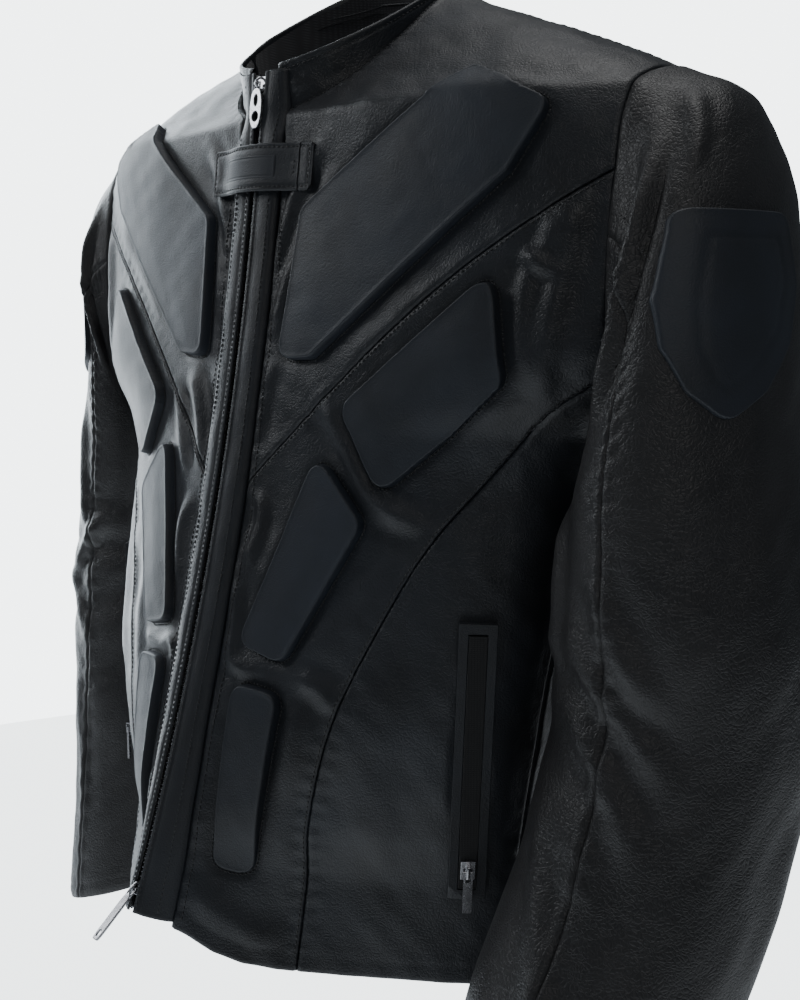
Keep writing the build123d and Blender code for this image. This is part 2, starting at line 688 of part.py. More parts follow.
# Slider at the foot of its zip, with a bridge that holds the pull's bar
POCKET_REST = -POCKET_TRAVEL / 2
POCKET_BAR_RISE = POCKET_FACE + 5.2
POCKET_PLATE = (10.0, 13.0, 1.6)
POCKET_BRIDGE = (2.6, 9.0, 4.8)
POCKET_WINDOW = (4.0, 5.6, 2.8)
POCKET_BAR = (0.8, 6.4)        # radius and length
POCKET_ARM = (1.4, 8.0, 1.6)
POCKET_ARM_X = 2.5
POCKET_PULL_PLATE = (6.4, 22.0, 1.6)
POCKET_PULL_CENTRE = -18.0
with BuildPart() as pocket_slider:
    with Locations(pocket_plane()):
        with Locations((0, POCKET_REST, POCKET_FACE + 1.5)):
            Box(*POCKET_PLATE)
        with Locations((0, POCKET_REST, POCKET_FACE + 4.6)):
            Box(*POCKET_BRIDGE)
        with Locations((0, POCKET_REST, POCKET_BAR_RISE)):
            Box(*POCKET_WINDOW, mode=Mode.SUBTRACT)
save_pair(pocket_slider.part, "pocket_slider")

with BuildPart() as pocket_pull:
    with Locations(pocket_plane()):
        with Locations((0, POCKET_REST, POCKET_BAR_RISE)):
            Cylinder(*POCKET_BAR, rotation=(0, 90, 0))
            for arm in (1, -1):
                with Locations((arm * POCKET_ARM_X, -POCKET_ARM[1] / 2, 0)):
                    Box(*POCKET_ARM)
            with Locations((0, POCKET_PULL_CENTRE, 0)):
                Box(*POCKET_PULL_PLATE)
save_pair(pocket_pull.part, "pocket_pull")

# Pocket bags between the leather and the lining
BAG_RISE = (-5.2, -6.8)
BAG_OUTLINE = [(120, -470), (206, -418), (206, -606), (116, -640)]
bag_zone = prism(BAG_OUTLINE, 8.0)
bags = overlap(layer(*BAG_RISE), front_zone.part, bag_zone)
save_both(bags, "pocket_bags")
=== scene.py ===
import math

import bmesh
import bpy
import numpy as np
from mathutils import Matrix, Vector
from mathutils.geometry import delaunay_2d_cdt
from mathutils.kdtree import KDTree


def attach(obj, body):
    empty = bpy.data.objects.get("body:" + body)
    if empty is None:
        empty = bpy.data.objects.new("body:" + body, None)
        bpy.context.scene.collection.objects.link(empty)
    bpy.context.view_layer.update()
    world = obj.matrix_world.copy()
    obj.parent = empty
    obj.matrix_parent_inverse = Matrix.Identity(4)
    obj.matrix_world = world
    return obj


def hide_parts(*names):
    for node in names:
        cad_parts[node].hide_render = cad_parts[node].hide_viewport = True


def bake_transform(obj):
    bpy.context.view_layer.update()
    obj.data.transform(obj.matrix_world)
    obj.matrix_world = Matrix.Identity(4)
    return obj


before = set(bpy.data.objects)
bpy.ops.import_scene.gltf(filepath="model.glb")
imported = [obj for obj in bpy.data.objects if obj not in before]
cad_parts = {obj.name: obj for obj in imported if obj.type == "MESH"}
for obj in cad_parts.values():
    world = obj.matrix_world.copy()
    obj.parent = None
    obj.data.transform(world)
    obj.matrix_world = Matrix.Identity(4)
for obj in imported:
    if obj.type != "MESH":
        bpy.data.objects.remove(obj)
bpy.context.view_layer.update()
scene = bpy.context.scene

# All shapes are worked out in millimetres in the model's frame and scaled to metres when a mesh is made.
MM = 0.001
SIDES = (("left", 1), ("right", -1))

# ---------------------------------------------------------------- camera
camera_data = bpy.data.cameras.new("camera")
camera_data.lens = 43.2
camera_data.sensor_width = 36.0
camera = bpy.data.objects.new("camera", camera_data)
camera.location = (0.708, -0.674, -0.204)
camera.rotation_euler = (math.radians(81.0), 0.0, math.radians(44.4))
scene.collection.objects.link(camera)
scene.camera = camera

# ---------------------------------------------------------------- shape of the body
ZIP_RADIUS = 2500.0
ZIP_CENTRE_Y = -2579.0
ZIP_CENTRE_Z = 207.0
ZIP_TOP = -34.0
ZIP_BOTTOM = -636.0
NECK_FRONT = (-90.0, -66.0)
NECK_BACK = (86.0, 48.0)
NECK_HALF_WIDTH = 80.0
COLLAR_FRONT = (-94.0, -30.0)
COLLAR_BACK = (84.0, 75.0)
ARMHOLE_X = 278.0
PLACKET_EDGE = 24.0
POWER = 2.3
HEM_LINE = [(0, -638), (24, -644), (62, -664), (100, -668), (400, -668)]

# height, half width, y of the side line, y of the back, sharpness of the front keel
LEVELS = np.array([
    (-690.0, 214.0, -78.0, 86.0, 0.95),
    (-605.0, 218.0, -64.0, 90.0, 0.85),
    (-560.0, 220.0, -56.0, 92.0, 0.60),
    (-480.0, 223.0, -42.0, 98.0, 0.30),
    (-400.0, 228.0, -25.0, 108.0, 0.20),
    (-330.0, 233.0, -12.0, 122.0, 0.15),
    (-290.0, 248.0, -5.0, 128.0, 0.12),
    (-262.0, 280.0, 0.0, 131.0, 0.10),
    (-225.0, 308.0, 4.0, 133.0, 0.10),
    (-150.0, 318.0, 8.0, 134.0, 0.10),
    (-100.0, 316.0, 10.0, 130.0, 0.10),
    (-70.0, 302.0, 12.0, 124.0, 0.10),
    (-52.0, 276.0, 14.0, 118.0, 0.10),
    (-34.0, 240.0, 16.0, 112.0, 0.10),
    (-6.0, 168.0, 22.0, 104.0, 0.10),
    (22.0, 98.0, 30.0, 98.0, 0.10),
    (48.0, 44.0, 50.0, 90.0, 0.10),
])
SEAM_DIAGONAL = [(330, -88), (237, -143), (169, -191), (94, -257), (20, -332)]
SEAM_LOWER = [(330, -215), (278, -243), (231, -277), (205, -312), (171, -360), (148, -414),
              (125, -472), (111, -532), (103, -591), (105, -720)]
BACK_SEAM = [(330, -205), (278, -214), (214, -262), (168, -330), (138, -420), (118, -540), (112, -720)]
BACK_YOKE_Z = -150.0
CHEST_PAD = [(175, -50), (52, -134), (44, -240), (76, -238), (216, -119), (240, -76)]
RIB_PAD = [(212, -177), (104, -270), (138, -329), (222, -250)]
WAIST_PAD = [(88, -300), (130, -348), (82, -450), (42, -440)]
HIP_PAD = [(44, -466), (84, -470), (70, -604), (42, -600)]
SHIELD_PAD = [(-66, -147), (8, -147), (11, -190), (-4, -225), (-30, -252), (-59, -269),
              (-77, -251), (-83, -226), (-81, -199), (-75, -176)]
SHIELD_RIGHT_SHIFT = 22.0


def hump(x, centre, width):
    """Bell curve that is 1 at centre."""
    return np.exp(-(((x - centre) / width) ** 2))


def lengths_along(points):
    """Length of a polyline up to each of its points."""
    return np.concatenate([[0], np.cumsum(np.linalg.norm(np.diff(points, axis=0), axis=1))])


def tree_of(points):
    """Nearest-point lookup over 2-D points."""
    tree = KDTree(len(points))
    for i, p in enumerate(points):
        tree.insert((p[0], p[1], 0), i)
    tree.balance()
    return tree


def gap_to(tree, p):
    return tree.find((p[0], p[1], 0))[2]


def smooth_curve(xs, ys):
    """Smooth curve through the points that never overshoots them."""
    xs = np.asarray(xs, float)
    ys = np.asarray(ys, float)
    step = np.diff(xs)
    slope = np.diff(ys) / step
    tangent = np.zeros(len(xs))
    tangent[0] = slope[0]
    tangent[-1] = slope[-1]
    for i in range(1, len(xs) - 1):
        if slope[i - 1] * slope[i] > 0:
            weight = (2 * step[i] + step[i - 1], step[i] + 2 * step[i - 1])
            tangent[i] = sum(weight) / (weight[0] / slope[i - 1] + weight[1] / slope[i])

    def value(x):
        x = np.clip(np.asarray(x, float), xs[0], xs[-1])
        i = np.clip(np.searchsorted(xs, x) - 1, 0, len(xs) - 2)
        t = (x - xs[i]) / step[i]
        h00 = (1 + 2 * t) * (1 - t) ** 2
        h10 = t * (1 - t) ** 2
        h01 = t * t * (3 - 2 * t)
        h11 = t * t * (t - 1)
        return h00 * ys[i] + h10 * step[i] * tangent[i] + h01 * ys[i + 1] + h11 * step[i] * tangent[i + 1]

    return value


half_at = smooth_curve(LEVELS[:, 0], LEVELS[:, 1])
side_at = smooth_curve(LEVELS[:, 0], LEVELS[:, 2])
back_at = smooth_curve(LEVELS[:, 0], LEVELS[:, 3])
sharp_at = smooth_curve(LEVELS[:, 0], LEVELS[:, 4])


def zip_y(z):
    """y of the zip's chain, which follows an arc in the middle plane."""
    return ZIP_CENTRE_Y + np.sqrt(ZIP_RADIUS**2 - (np.asarray(z, float) - ZIP_CENTRE_Z) ** 2)


def keel_y(z):
    """y of the front's middle line, up to the top of the shoulders."""
    z = np.asarray(z, float)
    share = np.clip((z - NECK_FRONT[1]) / (NECK_BACK[1] - NECK_FRONT[1]), 0, 1)
    low = zip_y(np.minimum(z, NECK_FRONT[1]))
    return low + (20.0 - low) * share


# Table of half outlines, from the front's centre line round to the back's
ROW_STEP = 2.0
ROWS = np.arange(-690.0, 48.1, ROW_STEP)
COLS = 600
table_x = np.zeros((len(ROWS), COLS))
table_y = np.zeros((len(ROWS), COLS))
row_length = np.zeros(len(ROWS))
angles = np.linspace(0, math.pi / 2, 400)
rise = np.sin(angles) ** (2 / POWER)
fall = np.cos(angles) ** (2 / POWER)
for number, height in enumerate(ROWS):
    half, side, back, sharp = half_at(height), side_at(height), back_at(height), sharp_at(height)
    front_x = half * rise
    front = side - (side - keel_y(height)) * ((1 - sharp) * fall + sharp * (1 - rise))
    xs = np.concatenate([front_x, (half * fall)[1:]])
    ys = np.concatenate([front, (side + (back - side) * rise)[1:]])
    along = np.concatenate([[0], np.cumsum(np.hypot(np.diff(xs), np.diff(ys)))])
    row_length[number] = along[-1]
    even = np.linspace(0, along[-1], COLS)
    table_x[number] = np.interp(even, along, xs)
    table_y[number] = np.interp(even, along, ys)

# v is the height measured along the slope of the shoulders; a is the share of the half girth times GIRTH
GIRTH = 560.0
halves = half_at(ROWS)
slope_step = np.hypot(np.diff(ROWS), np.where(ROWS[1:] > -60, np.diff(halves), 0))
ROW_V = np.concatenate([[0], np.cumsum(slope_step)]) + ROWS[0]


def v_of(z):
    return np.interp(z, ROWS, ROW_V)


def z_of(v):
    return np.interp(v, ROW_V, ROWS)


def lookup(table, a, z):
    """Value of a table of half outlines between its rows and columns."""
    row = np.clip((np.asarray(z, float) - ROWS[0]) / ROW_STEP, 0, len(ROWS) - 1.001)
    col = np.clip(np.asarray(a, float) / GIRTH * (COLS - 1), 0, COLS - 1.001)
    i, j = row.astype(int), col.astype(int)
    s, t = row - i, col - j
    low = table[i, j] * (1 - t) + table[i, j + 1] * t
    high = table[i + 1, j] * (1 - t) + table[i + 1, j + 1] * t
    return low * (1 - s) + high * s


def body_point(a, v):
    z = z_of(v)
    return np.stack([lookup(table_x, a, z), lookup(table_y, a, z), z], axis=-1)


def body_normal(a, v):
    """Outward direction of the bare surface."""
    da = body_point(a + 1.5, v) - body_point(a - 1.5, v)
    dv = body_point(a, v + 3.0) - body_point(a, v - 3.0)
    normal = np.cross(da, dv)
    length = np.linalg.norm(normal, axis=-1, keepdims=True)
    return normal / np.maximum(length, 1e-9)


def outline_a(x, z, is_back):
    """a of the front or back points at (x, z)."""
    found = []
    for xi, zi in zip(np.atleast_1d(x), np.atleast_1d(z)):
        row = table_x[int(np.clip(round((zi - ROWS[0]) / ROW_STEP), 0, len(ROWS) - 1))]
        top = int(np.argmax(row))
        if is_back:
            tail = row[top:][::-1]
            col = COLS - 1 - np.interp(min(xi, tail[-1]), tail, np.arange(len(tail)))
        else:
            col = np.interp(min(xi, row[top]), row[: top + 1], np.arange(top + 1))
        found.append(col / (COLS - 1) * GIRTH)
    return np.array(found)


def a_of_front(x, z):
    return outline_a(x, z, False)


def a_of_back(x, z):
    return outline_a(x, z, True)


def resample(points, step):
    """Points at an even step along an open polyline."""
    points = np.asarray(points, float)
    along = lengths_along(points)
    count = max(2, int(round(along[-1] / step)) + 1)
    even = np.linspace(0, along[-1], count)
    return np.stack([np.interp(even, along, points[:, k]) for k in range(points.shape[1])], axis=1)


def soften(points, times=3):
    """Corner cutting, the ends kept."""
    points = np.asarray(points, float)
    for _ in range(times):
        quarter = points[:-1] * 0.75 + points[1:] * 0.25
        other = points[:-1] * 0.25 + points[1:] * 0.75
        middle = np.empty((2 * len(quarter), points.shape[1]))
        middle[0::2] = quarter
        middle[1::2] = other
        points = np.vstack([points[:1], middle[1:-1], points[-1:]])
    return points


def rounded_loop(outline, radius, step=2.0):
    """Closed outline with round corners, as points at an even step."""
    outline = np.asarray(outline, float)
    count = len(outline)
    points = []
    for i in range(count):
        corner = outline[i]
        before = outline[i - 1] - corner
        after = outline[(i + 1) % count] - corner
        before_length = np.linalg.norm(before)
        after_length = np.linalg.norm(after)
        angle = math.acos(np.clip(np.dot(before, after) / before_length / after_length, -1, 1))
        cut = min(radius / math.tan(angle / 2), before_length * 0.45, after_length * 0.45)
        start = corner + before / before_length * cut
        end = corner + after / after_length * cut
        for t in np.linspace(0, 1, 9):
            points.append(start * (1 - t) ** 2 + corner * 2 * t * (1 - t) + end * t * t)
    points.append(points[0])
    return resample(points, step)[:-1]


def waves(points, seed, scale, count=9):
    """Soft seeded unevenness, about -1 to 1, at a size of scale millimetres."""
    random = np.random.default_rng(seed)
    total = np.zeros(points.shape[:-1])
    for _ in range(count):
        direction = random.normal(size=3)
        direction /= np.linalg.norm(direction)
        size = scale * random.uniform(0.7, 1.8)
        phase = random.uniform(0, 2 * math.pi)
        bend = random.normal(size=3) / scale * 0.8
        sway = 1.2 * np.sin(points @ bend + phase * 2)
        total += np.sin(points @ direction * 2 * math.pi / size + phase + sway)
    return total / math.sqrt(count) * 0.8


def distance_to_line(points, line):
    """Distance of 2-D points to a polyline, the share along it, and the side they are on."""
    line = np.asarray(line, float)
    best = np.full(len(points), 1e9)
    where = np.zeros(len(points))
    side = np.zeros(len(points))
    lengths = np.linalg.norm(np.diff(line, axis=0), axis=1)
    total = lengths.sum()
    done = 0.0
    for i in range(len(line) - 1):
        start, way = line[i], line[i + 1] - line[i]
        rel = points - start
        t = np.clip((rel @ way) / max(way @ way, 1e-9), 0, 1)
        gap = rel - t[:, None] * way
        distance = np.hypot(gap[:, 0], gap[:, 1])
        nearer = distance < best
        best = np.where(nearer, distance, best)
        where = np.where(nearer, (done + t * lengths[i]) / total, where)
        side = np.where(nearer, np.sign(way[0] * rel[:, 1] - way[1] * rel[:, 0]), side)
        done += lengths[i]
    return best, where, side


# Folds of the soft leather: (points (x, z), height, width on the upper side, width on the lower side)
LEFT_FOLDS = [
    ([(66, -84), (44, -112), (31, -146), (27, -186)], 3.6, 7, 5),
    ([(78, -112), (52, -146), (38, -190), (31, -232)], 3.4, 6, 5),
    ([(38, -236), (30, -262), (28, -300)], 2.6, 6, 5),
    ([(78, -256), (100, -282), (124, -320), (148, -342), (172, -346)], 4.2, 8, 7),
    ([(36, -330), (44, -352), (34, -388)], 3.0, 6, 6),
    ([(27, -392), (35, -425), (33, -455), (62, -458)], 3.4, 6, 6),
    ([(92, -456), (112, -462), (128, -478)], 2.8, 8, 7),
    ([(30, -486), (33, -530), (30, -590)], 2.2, 6, 7),
    ([(262, -122), (256, -150), (250, -186), (243, -236), (240, -276)], 4.0, 7, 8),
    ([(246, -128), (244, -158), (232, -182), (229, -214), (232, -262)], 3.6, 7, 6),
    ([(226, -166), (240, -176), (252, -182)], 3.0, 5, 5),
    ([(86, -250), (128, -222), (176, -190), (214, -164)], 1.6, 8, 8),
    ([(96, -470), (92, -536), (84, -600)], 1.8, 9, 9),
    ([(152, -420), (146, -500), (142, -590)], 2.0, 14, 14),
    ([(186, -330), (190, -420), (182, -520)], 1.6, 16, 12),
    ([(30, -612), (60, -640), (98, -648)], 1.6, 9, 9),
]
RIGHT_FOLDS = [
    ([(70, -78), (50, -104), (34, -140), (28, -176)], 3.4, 7, 6),
    ([(60, -128), (40, -168), (34, -210)], 3.0, 6, 6),
    ([(64, -244), (44, -280), (36, -330)], 3.6, 8, 7),
    ([(84, -262), (70, -300), (52, -332)], 2.6, 7, 7),
    ([(40, -338), (52, -372), (44, -420)], 3.2, 8, 7),
    ([(92, -455), (60, -462), (34, -448), (28, -470)], 3.8, 8, 7),
    ([(32, -500), (38, -540), (30, -590)], 2.4, 7, 8),
    ([(232, -120), (200, -150), (150, -180), (110, -214)], 1.8, 9, 8),
    ([(262, -126), (254, -170), (244, -230), (240, -276)], 3.8, 8, 8),
    ([(180, -340), (178, -420), (160, -520)], 2.0, 16, 12),
    ([(120, -380), (110, -440), (96, -500)], 2.2, 10, 10),
]
BACK_FOLDS = [
    ([(262, -130), (250, -180), (242, -240), (236, -280)], 4.2, 9, 9),
    ([(240, -160), (190, -190), (130, -214), (60, -226)], 2.4, 12, 14),
    ([(230, -230), (170, -300), (120, -380), (60, -420)], 2.2, 14, 14),
    ([(0, -330), (60, -352), (130, -350), (190, -330)], 3.0, 12, 14),
    ([(0, -392), (70, -404), (150, -396), (205, -380)], 2.6, 12, 12),
    ([(0, -120), (60, -124), (130, -110)], 1.4, 12, 14),
]

SEAM_STEP = 2.5
DOMAIN_STEP = 3.0


def seam_line(points, a_of, soft=3):
    """A seam drawn in (x, z), as (a, v) points at an even step."""
    points = resample(soften(points, soft), SEAM_STEP)
    points = points[points[:, 0] < half_at(points[:, 1]) - 1.0]
    return np.stack([a_of(points[:, 0], points[:, 1]), v_of(points[:, 1])], axis=1)


def neck_value(points):
    """Below zero inside the neck opening, above it outside."""
    tilt = math.atan2(NECK_BACK[1] - NECK_FRONT[1], NECK_BACK[0] - NECK_FRONT[0])
    length = math.hypot(NECK_BACK[1] - NECK_FRONT[1], NECK_BACK[0] - NECK_FRONT[0]) / 2
    y = points[..., 1] - (NECK_FRONT[0] + NECK_BACK[0]) / 2
    z = points[..., 2] - (NECK_FRONT[1] + NECK_BACK[1]) / 2
    along = y * math.cos(tilt) + z * math.sin(tilt)
    ring = np.hypot(points[..., 0] / NECK_HALF_WIDTH, along / length) - 1.0
    rise = z * math.cos(tilt) - y * math.sin(tilt)
    return np.maximum(ring, (-0.5 - rise) / NECK_HALF_WIDTH)


def side_seam_y(z):
    return np.interp(z, [-690, -480, -262, -60, 200], [-78, -40, 5, 22, 22])


def crossings(function, v_low, v_high, pick, step=2.0):
    """(a, v) points where function changes sign on each row; pick chooses the first or last."""
    found = []
    a = np.linspace(0, GIRTH, COLS)
    for v in np.arange(v_low, v_high, step):
        values = function(body_point(a, np.full(COLS, v)))
        change = np.where(np.sign(values[:-1]) != np.sign(values[1:]))[0]
        if len(change):
            i = change[pick]
            t = values[i] / (values[i] - values[i + 1])
            found.append((a[i] + (a[i + 1] - a[i]) * t, v))
    return np.array(found)


V_LOW = float(v_of(-690))
V_TOP = float(ROW_V[-1])
side_seam = crossings(lambda p: p[..., 1] - side_seam_y(p[..., 2]), V_LOW, V_TOP, 0)
neck_edge = crossings(neck_value, float(v_of(NECK_FRONT[1])) + 0.5, V_TOP, -1, 1.0)
ARMHOLE_V = (float(v_of(-262)), float(v_of(-50)))
armhole_front = crossings(lambda p: p[..., 0] - ARMHOLE_X, *ARMHOLE_V, 0, 1.0)
armhole_back = crossings(lambda p: p[..., 0] - ARMHOLE_X, *ARMHOLE_V, -1, 1.0)
placket_line = crossings(lambda p: p[..., 0] - PLACKET_EDGE, V_LOW, float(v_of(-50)), 0)
hem_front = seam_line(HEM_LINE, a_of_front, 1)
diagonal_seam = seam_line(SEAM_DIAGONAL, a_of_front)
lower_seam = seam_line(SEAM_LOWER, a_of_front)
back_seam = seam_line(BACK_SEAM, a_of_back)
HEM_V = float(v_of(-668))
YOKE_V = float(v_of(BACK_YOKE_Z))
YOKE_REACH = 300.0
yoke_seam = resample([(a_of_back([x], [BACK_YOKE_Z])[0], YOKE_V) for x in (0, YOKE_REACH)], SEAM_STEP)


def spread(a, v):
    """Domain point with both coordinates in true millimetres, for distances along the surface."""
    length = np.interp(z_of(v), ROWS, row_length)
    return np.stack([a / GIRTH * length, v], axis=-1)


def spread_points(points):
    return spread(points[:, 0], points[:, 1])


class Seams:
    """Nearest-seam lookup over a set of (a, v) lines."""

    def __init__(self, lines):
        samples = []
        along = []
        for line in lines:
            if len(line) < 2:
                continue
            points = resample(line, 1.5)
            metric = spread_points(points)
            samples.append(metric)
            along.append(lengths_along(metric))
        self.samples = np.vstack(samples)
        self.along = np.concatenate(along)
        self.tree = tree_of(self.samples)

    def nearest(self, points):
        distance = np.zeros(len(points))
        index = np.zeros(len(points), int)
        for i, p in enumerate(points):
            _, index[i], distance[i] = self.tree.find((p[0], p[1], 0))
        return distance, self.along[index]


PAD_LOOPS = {}
for pad_name, outline in (("chest", CHEST_PAD), ("rib", RIB_PAD), ("waist", WAIST_PAD), ("hip", HIP_PAD)):
    loop = rounded_loop(outline, 13.0)
    PAD_LOOPS[pad_name] = np.stack([a_of_front(loop[:, 0], loop[:, 1]), v_of(loop[:, 1])], axis=1)

front_seams = Seams([diagonal_seam, lower_seam, side_seam, neck_edge, armhole_front, placket_line])
back_seams = Seams([back_seam, side_seam, neck_edge, armhole_back, yoke_seam,
                    np.array([(GIRTH, HEM_V), (GIRTH, YOKE_V)])])
pad_seams = Seams([np.vstack([loop, loop[:1]]) for loop in PAD_LOOPS.values()])
hem_seam = Seams([hem_front, np.array([(hem_front[-1][0], HEM_V), (GIRTH, HEM_V)])])


def fold_height(points, folds):
    """Sum of the folds at 2-D points."""
    total = np.zeros(len(points))
    for line, height, upper, lower in folds:
        distance, where, side = distance_to_line(points, soften(line, 2))
        width = np.where(side > 0, upper, lower)
        taper = np.clip(np.minimum(where, 1 - where) * 5, 0.12, 1)
        ridge = hump(distance, 0, width)
        valley = hump(distance, 1.9 * width, width)
        total += height * taper * (ridge - 0.35 * valley)
    return total


def body_relief(a, v, side):
    """Height of the leather over the bare surface, for the left (1) or right (-1) half."""
    bare = body_point(a, v)
    metric = spread(a, v)
    is_front = bare[:, 1] < side_seam_y(bare[:, 2])
    height = np.zeros(len(a))
    flat = bare[:, [0, 2]]
    front_folds = LEFT_FOLDS if side > 0 else RIGHT_FOLDS
    height += np.where(is_front, fold_height(flat, front_folds), fold_height(flat, BACK_FOLDS))
    seen = bare * (side, 1, 1)
    height += 0.9 * waves(seen, 11, 70.0) + 0.35 * waves(seen, 12, 24.0)
    pad_distance, _ = pad_seams.nearest(metric)
    near_pad = hump(pad_distance, 0, 7.0)
    calm = np.where(is_front, 1 - 0.85 * near_pad, 1.0)
    height *= calm
    height -= np.where(is_front, 1.5 * hump(pad_distance, 0, 3.4), 0)
    for seams, here in ((front_seams, is_front), (back_seams, ~is_front)):
        distance, along = seams.nearest(metric)
        ripple = 0.32 * np.sin(along * 2 * math.pi / 13.0 + 1.5 * np.sin(along / 37.0))
        ripple *= 0.55 + 0.45 * np.sin(along / 61.0 + side)
        press = hump(distance, 0, 5.0)
        seam = height * (1 - 0.7 * press)
        seam += ripple * hump(distance, 6.0, 6.0)
        seam += 0.55 * hump(distance, 3.6, 2.6)
        seam -= 1.4 * hump(distance, 0, 1.0)
        height = np.where(here, seam, height)
    hem_distance, _ = hem_seam.nearest(metric)
    roll = np.clip(1 - hem_distance / 2.2, 0, 1)
    height -= 1.6 * roll**2
    height -= 0.5 * hump(hem_distance, 12.0, 1.1)
    return height


# Plane of the left hand pocket, read from its zip, which is a flat bar
POCKET_HALF_WIDTH = 13.0
POCKET_HALF_LENGTH = 97.0
POCKET_DEPTH = 1.6          # the leather lies this far under the zip's face
POCKET_SLOPE = 0.45         # how steeply it may rise again beside the welt
zip_node = bpy.data.objects["pocket_zips"]
zip_corners = np.array([zip_node.matrix_world @ corner.co for corner in zip_node.data.vertices]) / MM
zip_corners = zip_corners[zip_corners[:, 0] > 0]
pocket_centre = (zip_corners.min(axis=0) + zip_corners.max(axis=0)) / 2
pocket_along, pocket_across, pocket_out = np.linalg.svd(zip_corners - pocket_centre, full_matrices=False)[2]
pocket_out = pocket_out * np.sign(pocket_out[0])


def under_pocket(points):
    """Keeps the leather below the face of the hand pocket's welt."""
    away = points - pocket_centre
    beside = np.abs(away @ pocket_across) - POCKET_HALF_WIDTH
    beyond = np.abs(away @ pocket_along) - POCKET_HALF_LENGTH
    margin = np.maximum(np.maximum(beside, beyond), 0.0)
    excess = np.maximum(away @ pocket_out + POCKET_DEPTH - POCKET_SLOPE * margin, 0.0)
    return points - pocket_out * excess[:, None]


MIDDLE_BLEND = 30.0         # the two halves of the back share one shape this near to the middle


def body_surface(a, v, side, extra=0.0):
    """Points of the creased leather, extra millimetres above it."""
    a = np.asarray(a, float)
    v = np.asarray(v, float)
    extra = np.broadcast_to(np.asarray(extra, float), a.shape)
    height = body_relief(a, v, side) + extra
    near = a > GIRTH - MIDDLE_BLEND
    if near.any():
        share = 0.25 * (1.0 + np.cos(math.pi * (GIRTH - a[near]) / MIDDLE_BLEND))
        other = body_relief(a[near], v[near], -side) + extra[near]
        height[near] += share * (other - height[near])
    points = under_pocket(body_point(a, v) + body_normal(a, v) * height[:, None])
    points[:, 0] *= side
    return points


# ---------------------------------------------------------------- mesh making
def new_object(name, verts, faces, body, material, smooth=True):
    mesh = bpy.data.meshes.new(name)
    corners = [tuple(p) for p in np.asarray(verts) * MM]
    mesh.from_pydata(corners, [], [tuple(int(i) for i in f) for f in faces])
    mesh.validate()
    if smooth:
        mesh.polygons.foreach_set("use_smooth", [True] * len(mesh.polygons))
    mesh.update()
    obj = bpy.data.objects.new(name, mesh)
    scene.collection.objects.link(obj)
    mesh.materials.append(material)
    if body:
        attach(obj, body)
    return obj


def thicken(obj, thickness):
    """Gives a sheet of leather its thickness on the inside."""
    solid = obj.modifiers.new("thickness", "SOLIDIFY")
    solid.thickness = thickness * MM
    solid.offset = -1.0
    solid.use_rim = True
    return obj


def grid_faces(rows, cols, closed=False):
    """Four-sided faces of a grid of points, closed round its columns if asked."""
    faces = []
    for i in range(rows - 1):
        for j in range(cols if closed else cols - 1):
            k = (j + 1) % cols
            faces.append((i * cols + j, i * cols + k, (i + 1) * cols + k, (i + 1) * cols + j))
    return faces


def domain_mesh(lines, a_low, a_high, v_low, v_high, step, offsets=(1.1, 2.4, 4.0)):
    """Triangles of a flat (a, v) domain whose edges follow the lines."""
    points = []
    edges = []
    for line in lines:
        start = len(points)
        points.extend(map(tuple, line))
        edges.extend((i, i + 1) for i in range(start, len(points) - 1))
    tree = tree_of(points)
    extra = []
    for line in lines:
        way = np.gradient(np.asarray(line, float), axis=0)
        length = np.maximum(np.hypot(way[:, 0], way[:, 1]), 1e-9)
        across = np.stack([-way[:, 1] / length, way[:, 0] / length], axis=1)
        for offset in offsets:
            for sign in (1, -1):
                for p in line + across * offset * sign:
                    if gap_to(tree, p) > 0.85 * offset:
                        extra.append((p[0], p[1]))
    row = 0
    last = offsets[-1] + 0.6 * step if offsets else 0.6 * step
    v = v_low
    while v <= v_high:
        for a in np.arange(a_low + (step / 2 if row % 2 else 0), a_high, step):
            if gap_to(tree, (a, v)) > last:
                extra.append((a, v))
        v += step * 0.866
        row += 1
    everything = [Vector(p) for p in points + extra]
    out = delaunay_2d_cdt(everything, edges, [], 0, 1e-4)
    verts = np.array([tuple(p) for p in out[0]])
    return verts, np.array(out[2])


def pick(verts, faces, keep):
    """The faces that keep marks, with only their own points."""
    faces = faces[keep]
    used, index = np.unique(faces, return_inverse=True)
    return verts[used], index.reshape(faces.shape)


def stitches(name, runs, body, material, length=2.7, width=0.9, pitch=3.9, slot=None):
    """Thread stitches along runs of (points, normals), sunk a little into the leather."""
    verts = []
    faces = []
    ring = [(math.cos(t), math.sin(t)) for t in np.linspace(0, 2 * math.pi, 7)[:-1]]
    profile = [(-0.5, 0.25), (-0.36, 0.85), (0.0, 1.0), (0.36, 0.85), (0.5, 0.25)]
    for points, normals in runs:
        along = lengths_along(points)
        for s in np.arange(pitch / 2, along[-1] - pitch / 2, pitch):
            centre = np.array([np.interp(s, along, points[:, k]) for k in range(3)])
            ahead = np.array([np.interp(s + 0.6, along, points[:, k]) for k in range(3)])
            up = np.array([np.interp(s, along, normals[:, k]) for k in range(3)])
            way = ahead - centre
            size = np.linalg.norm(way)
            if size < 1e-6:
                continue
            way /= size
            up -= way * np.dot(up, way)
            up /= max(np.linalg.norm(up), 1e-9)
            across = np.cross(way, up)
            base = len(verts)
            for t, r in profile:
                for c, d in ring:
                    drop = -0.5 * width * (2 * t) ** 4 * 0.6
                    sideways = across * c * r * width / 2
                    verts.append(centre + way * t * length + sideways + up * (d * r * width / 2 + drop + 0.1))
            faces += [tuple(base + k for k in face) for face in grid_faces(len(profile), 6, True)]
    return new_object(name, verts, faces, body, material)


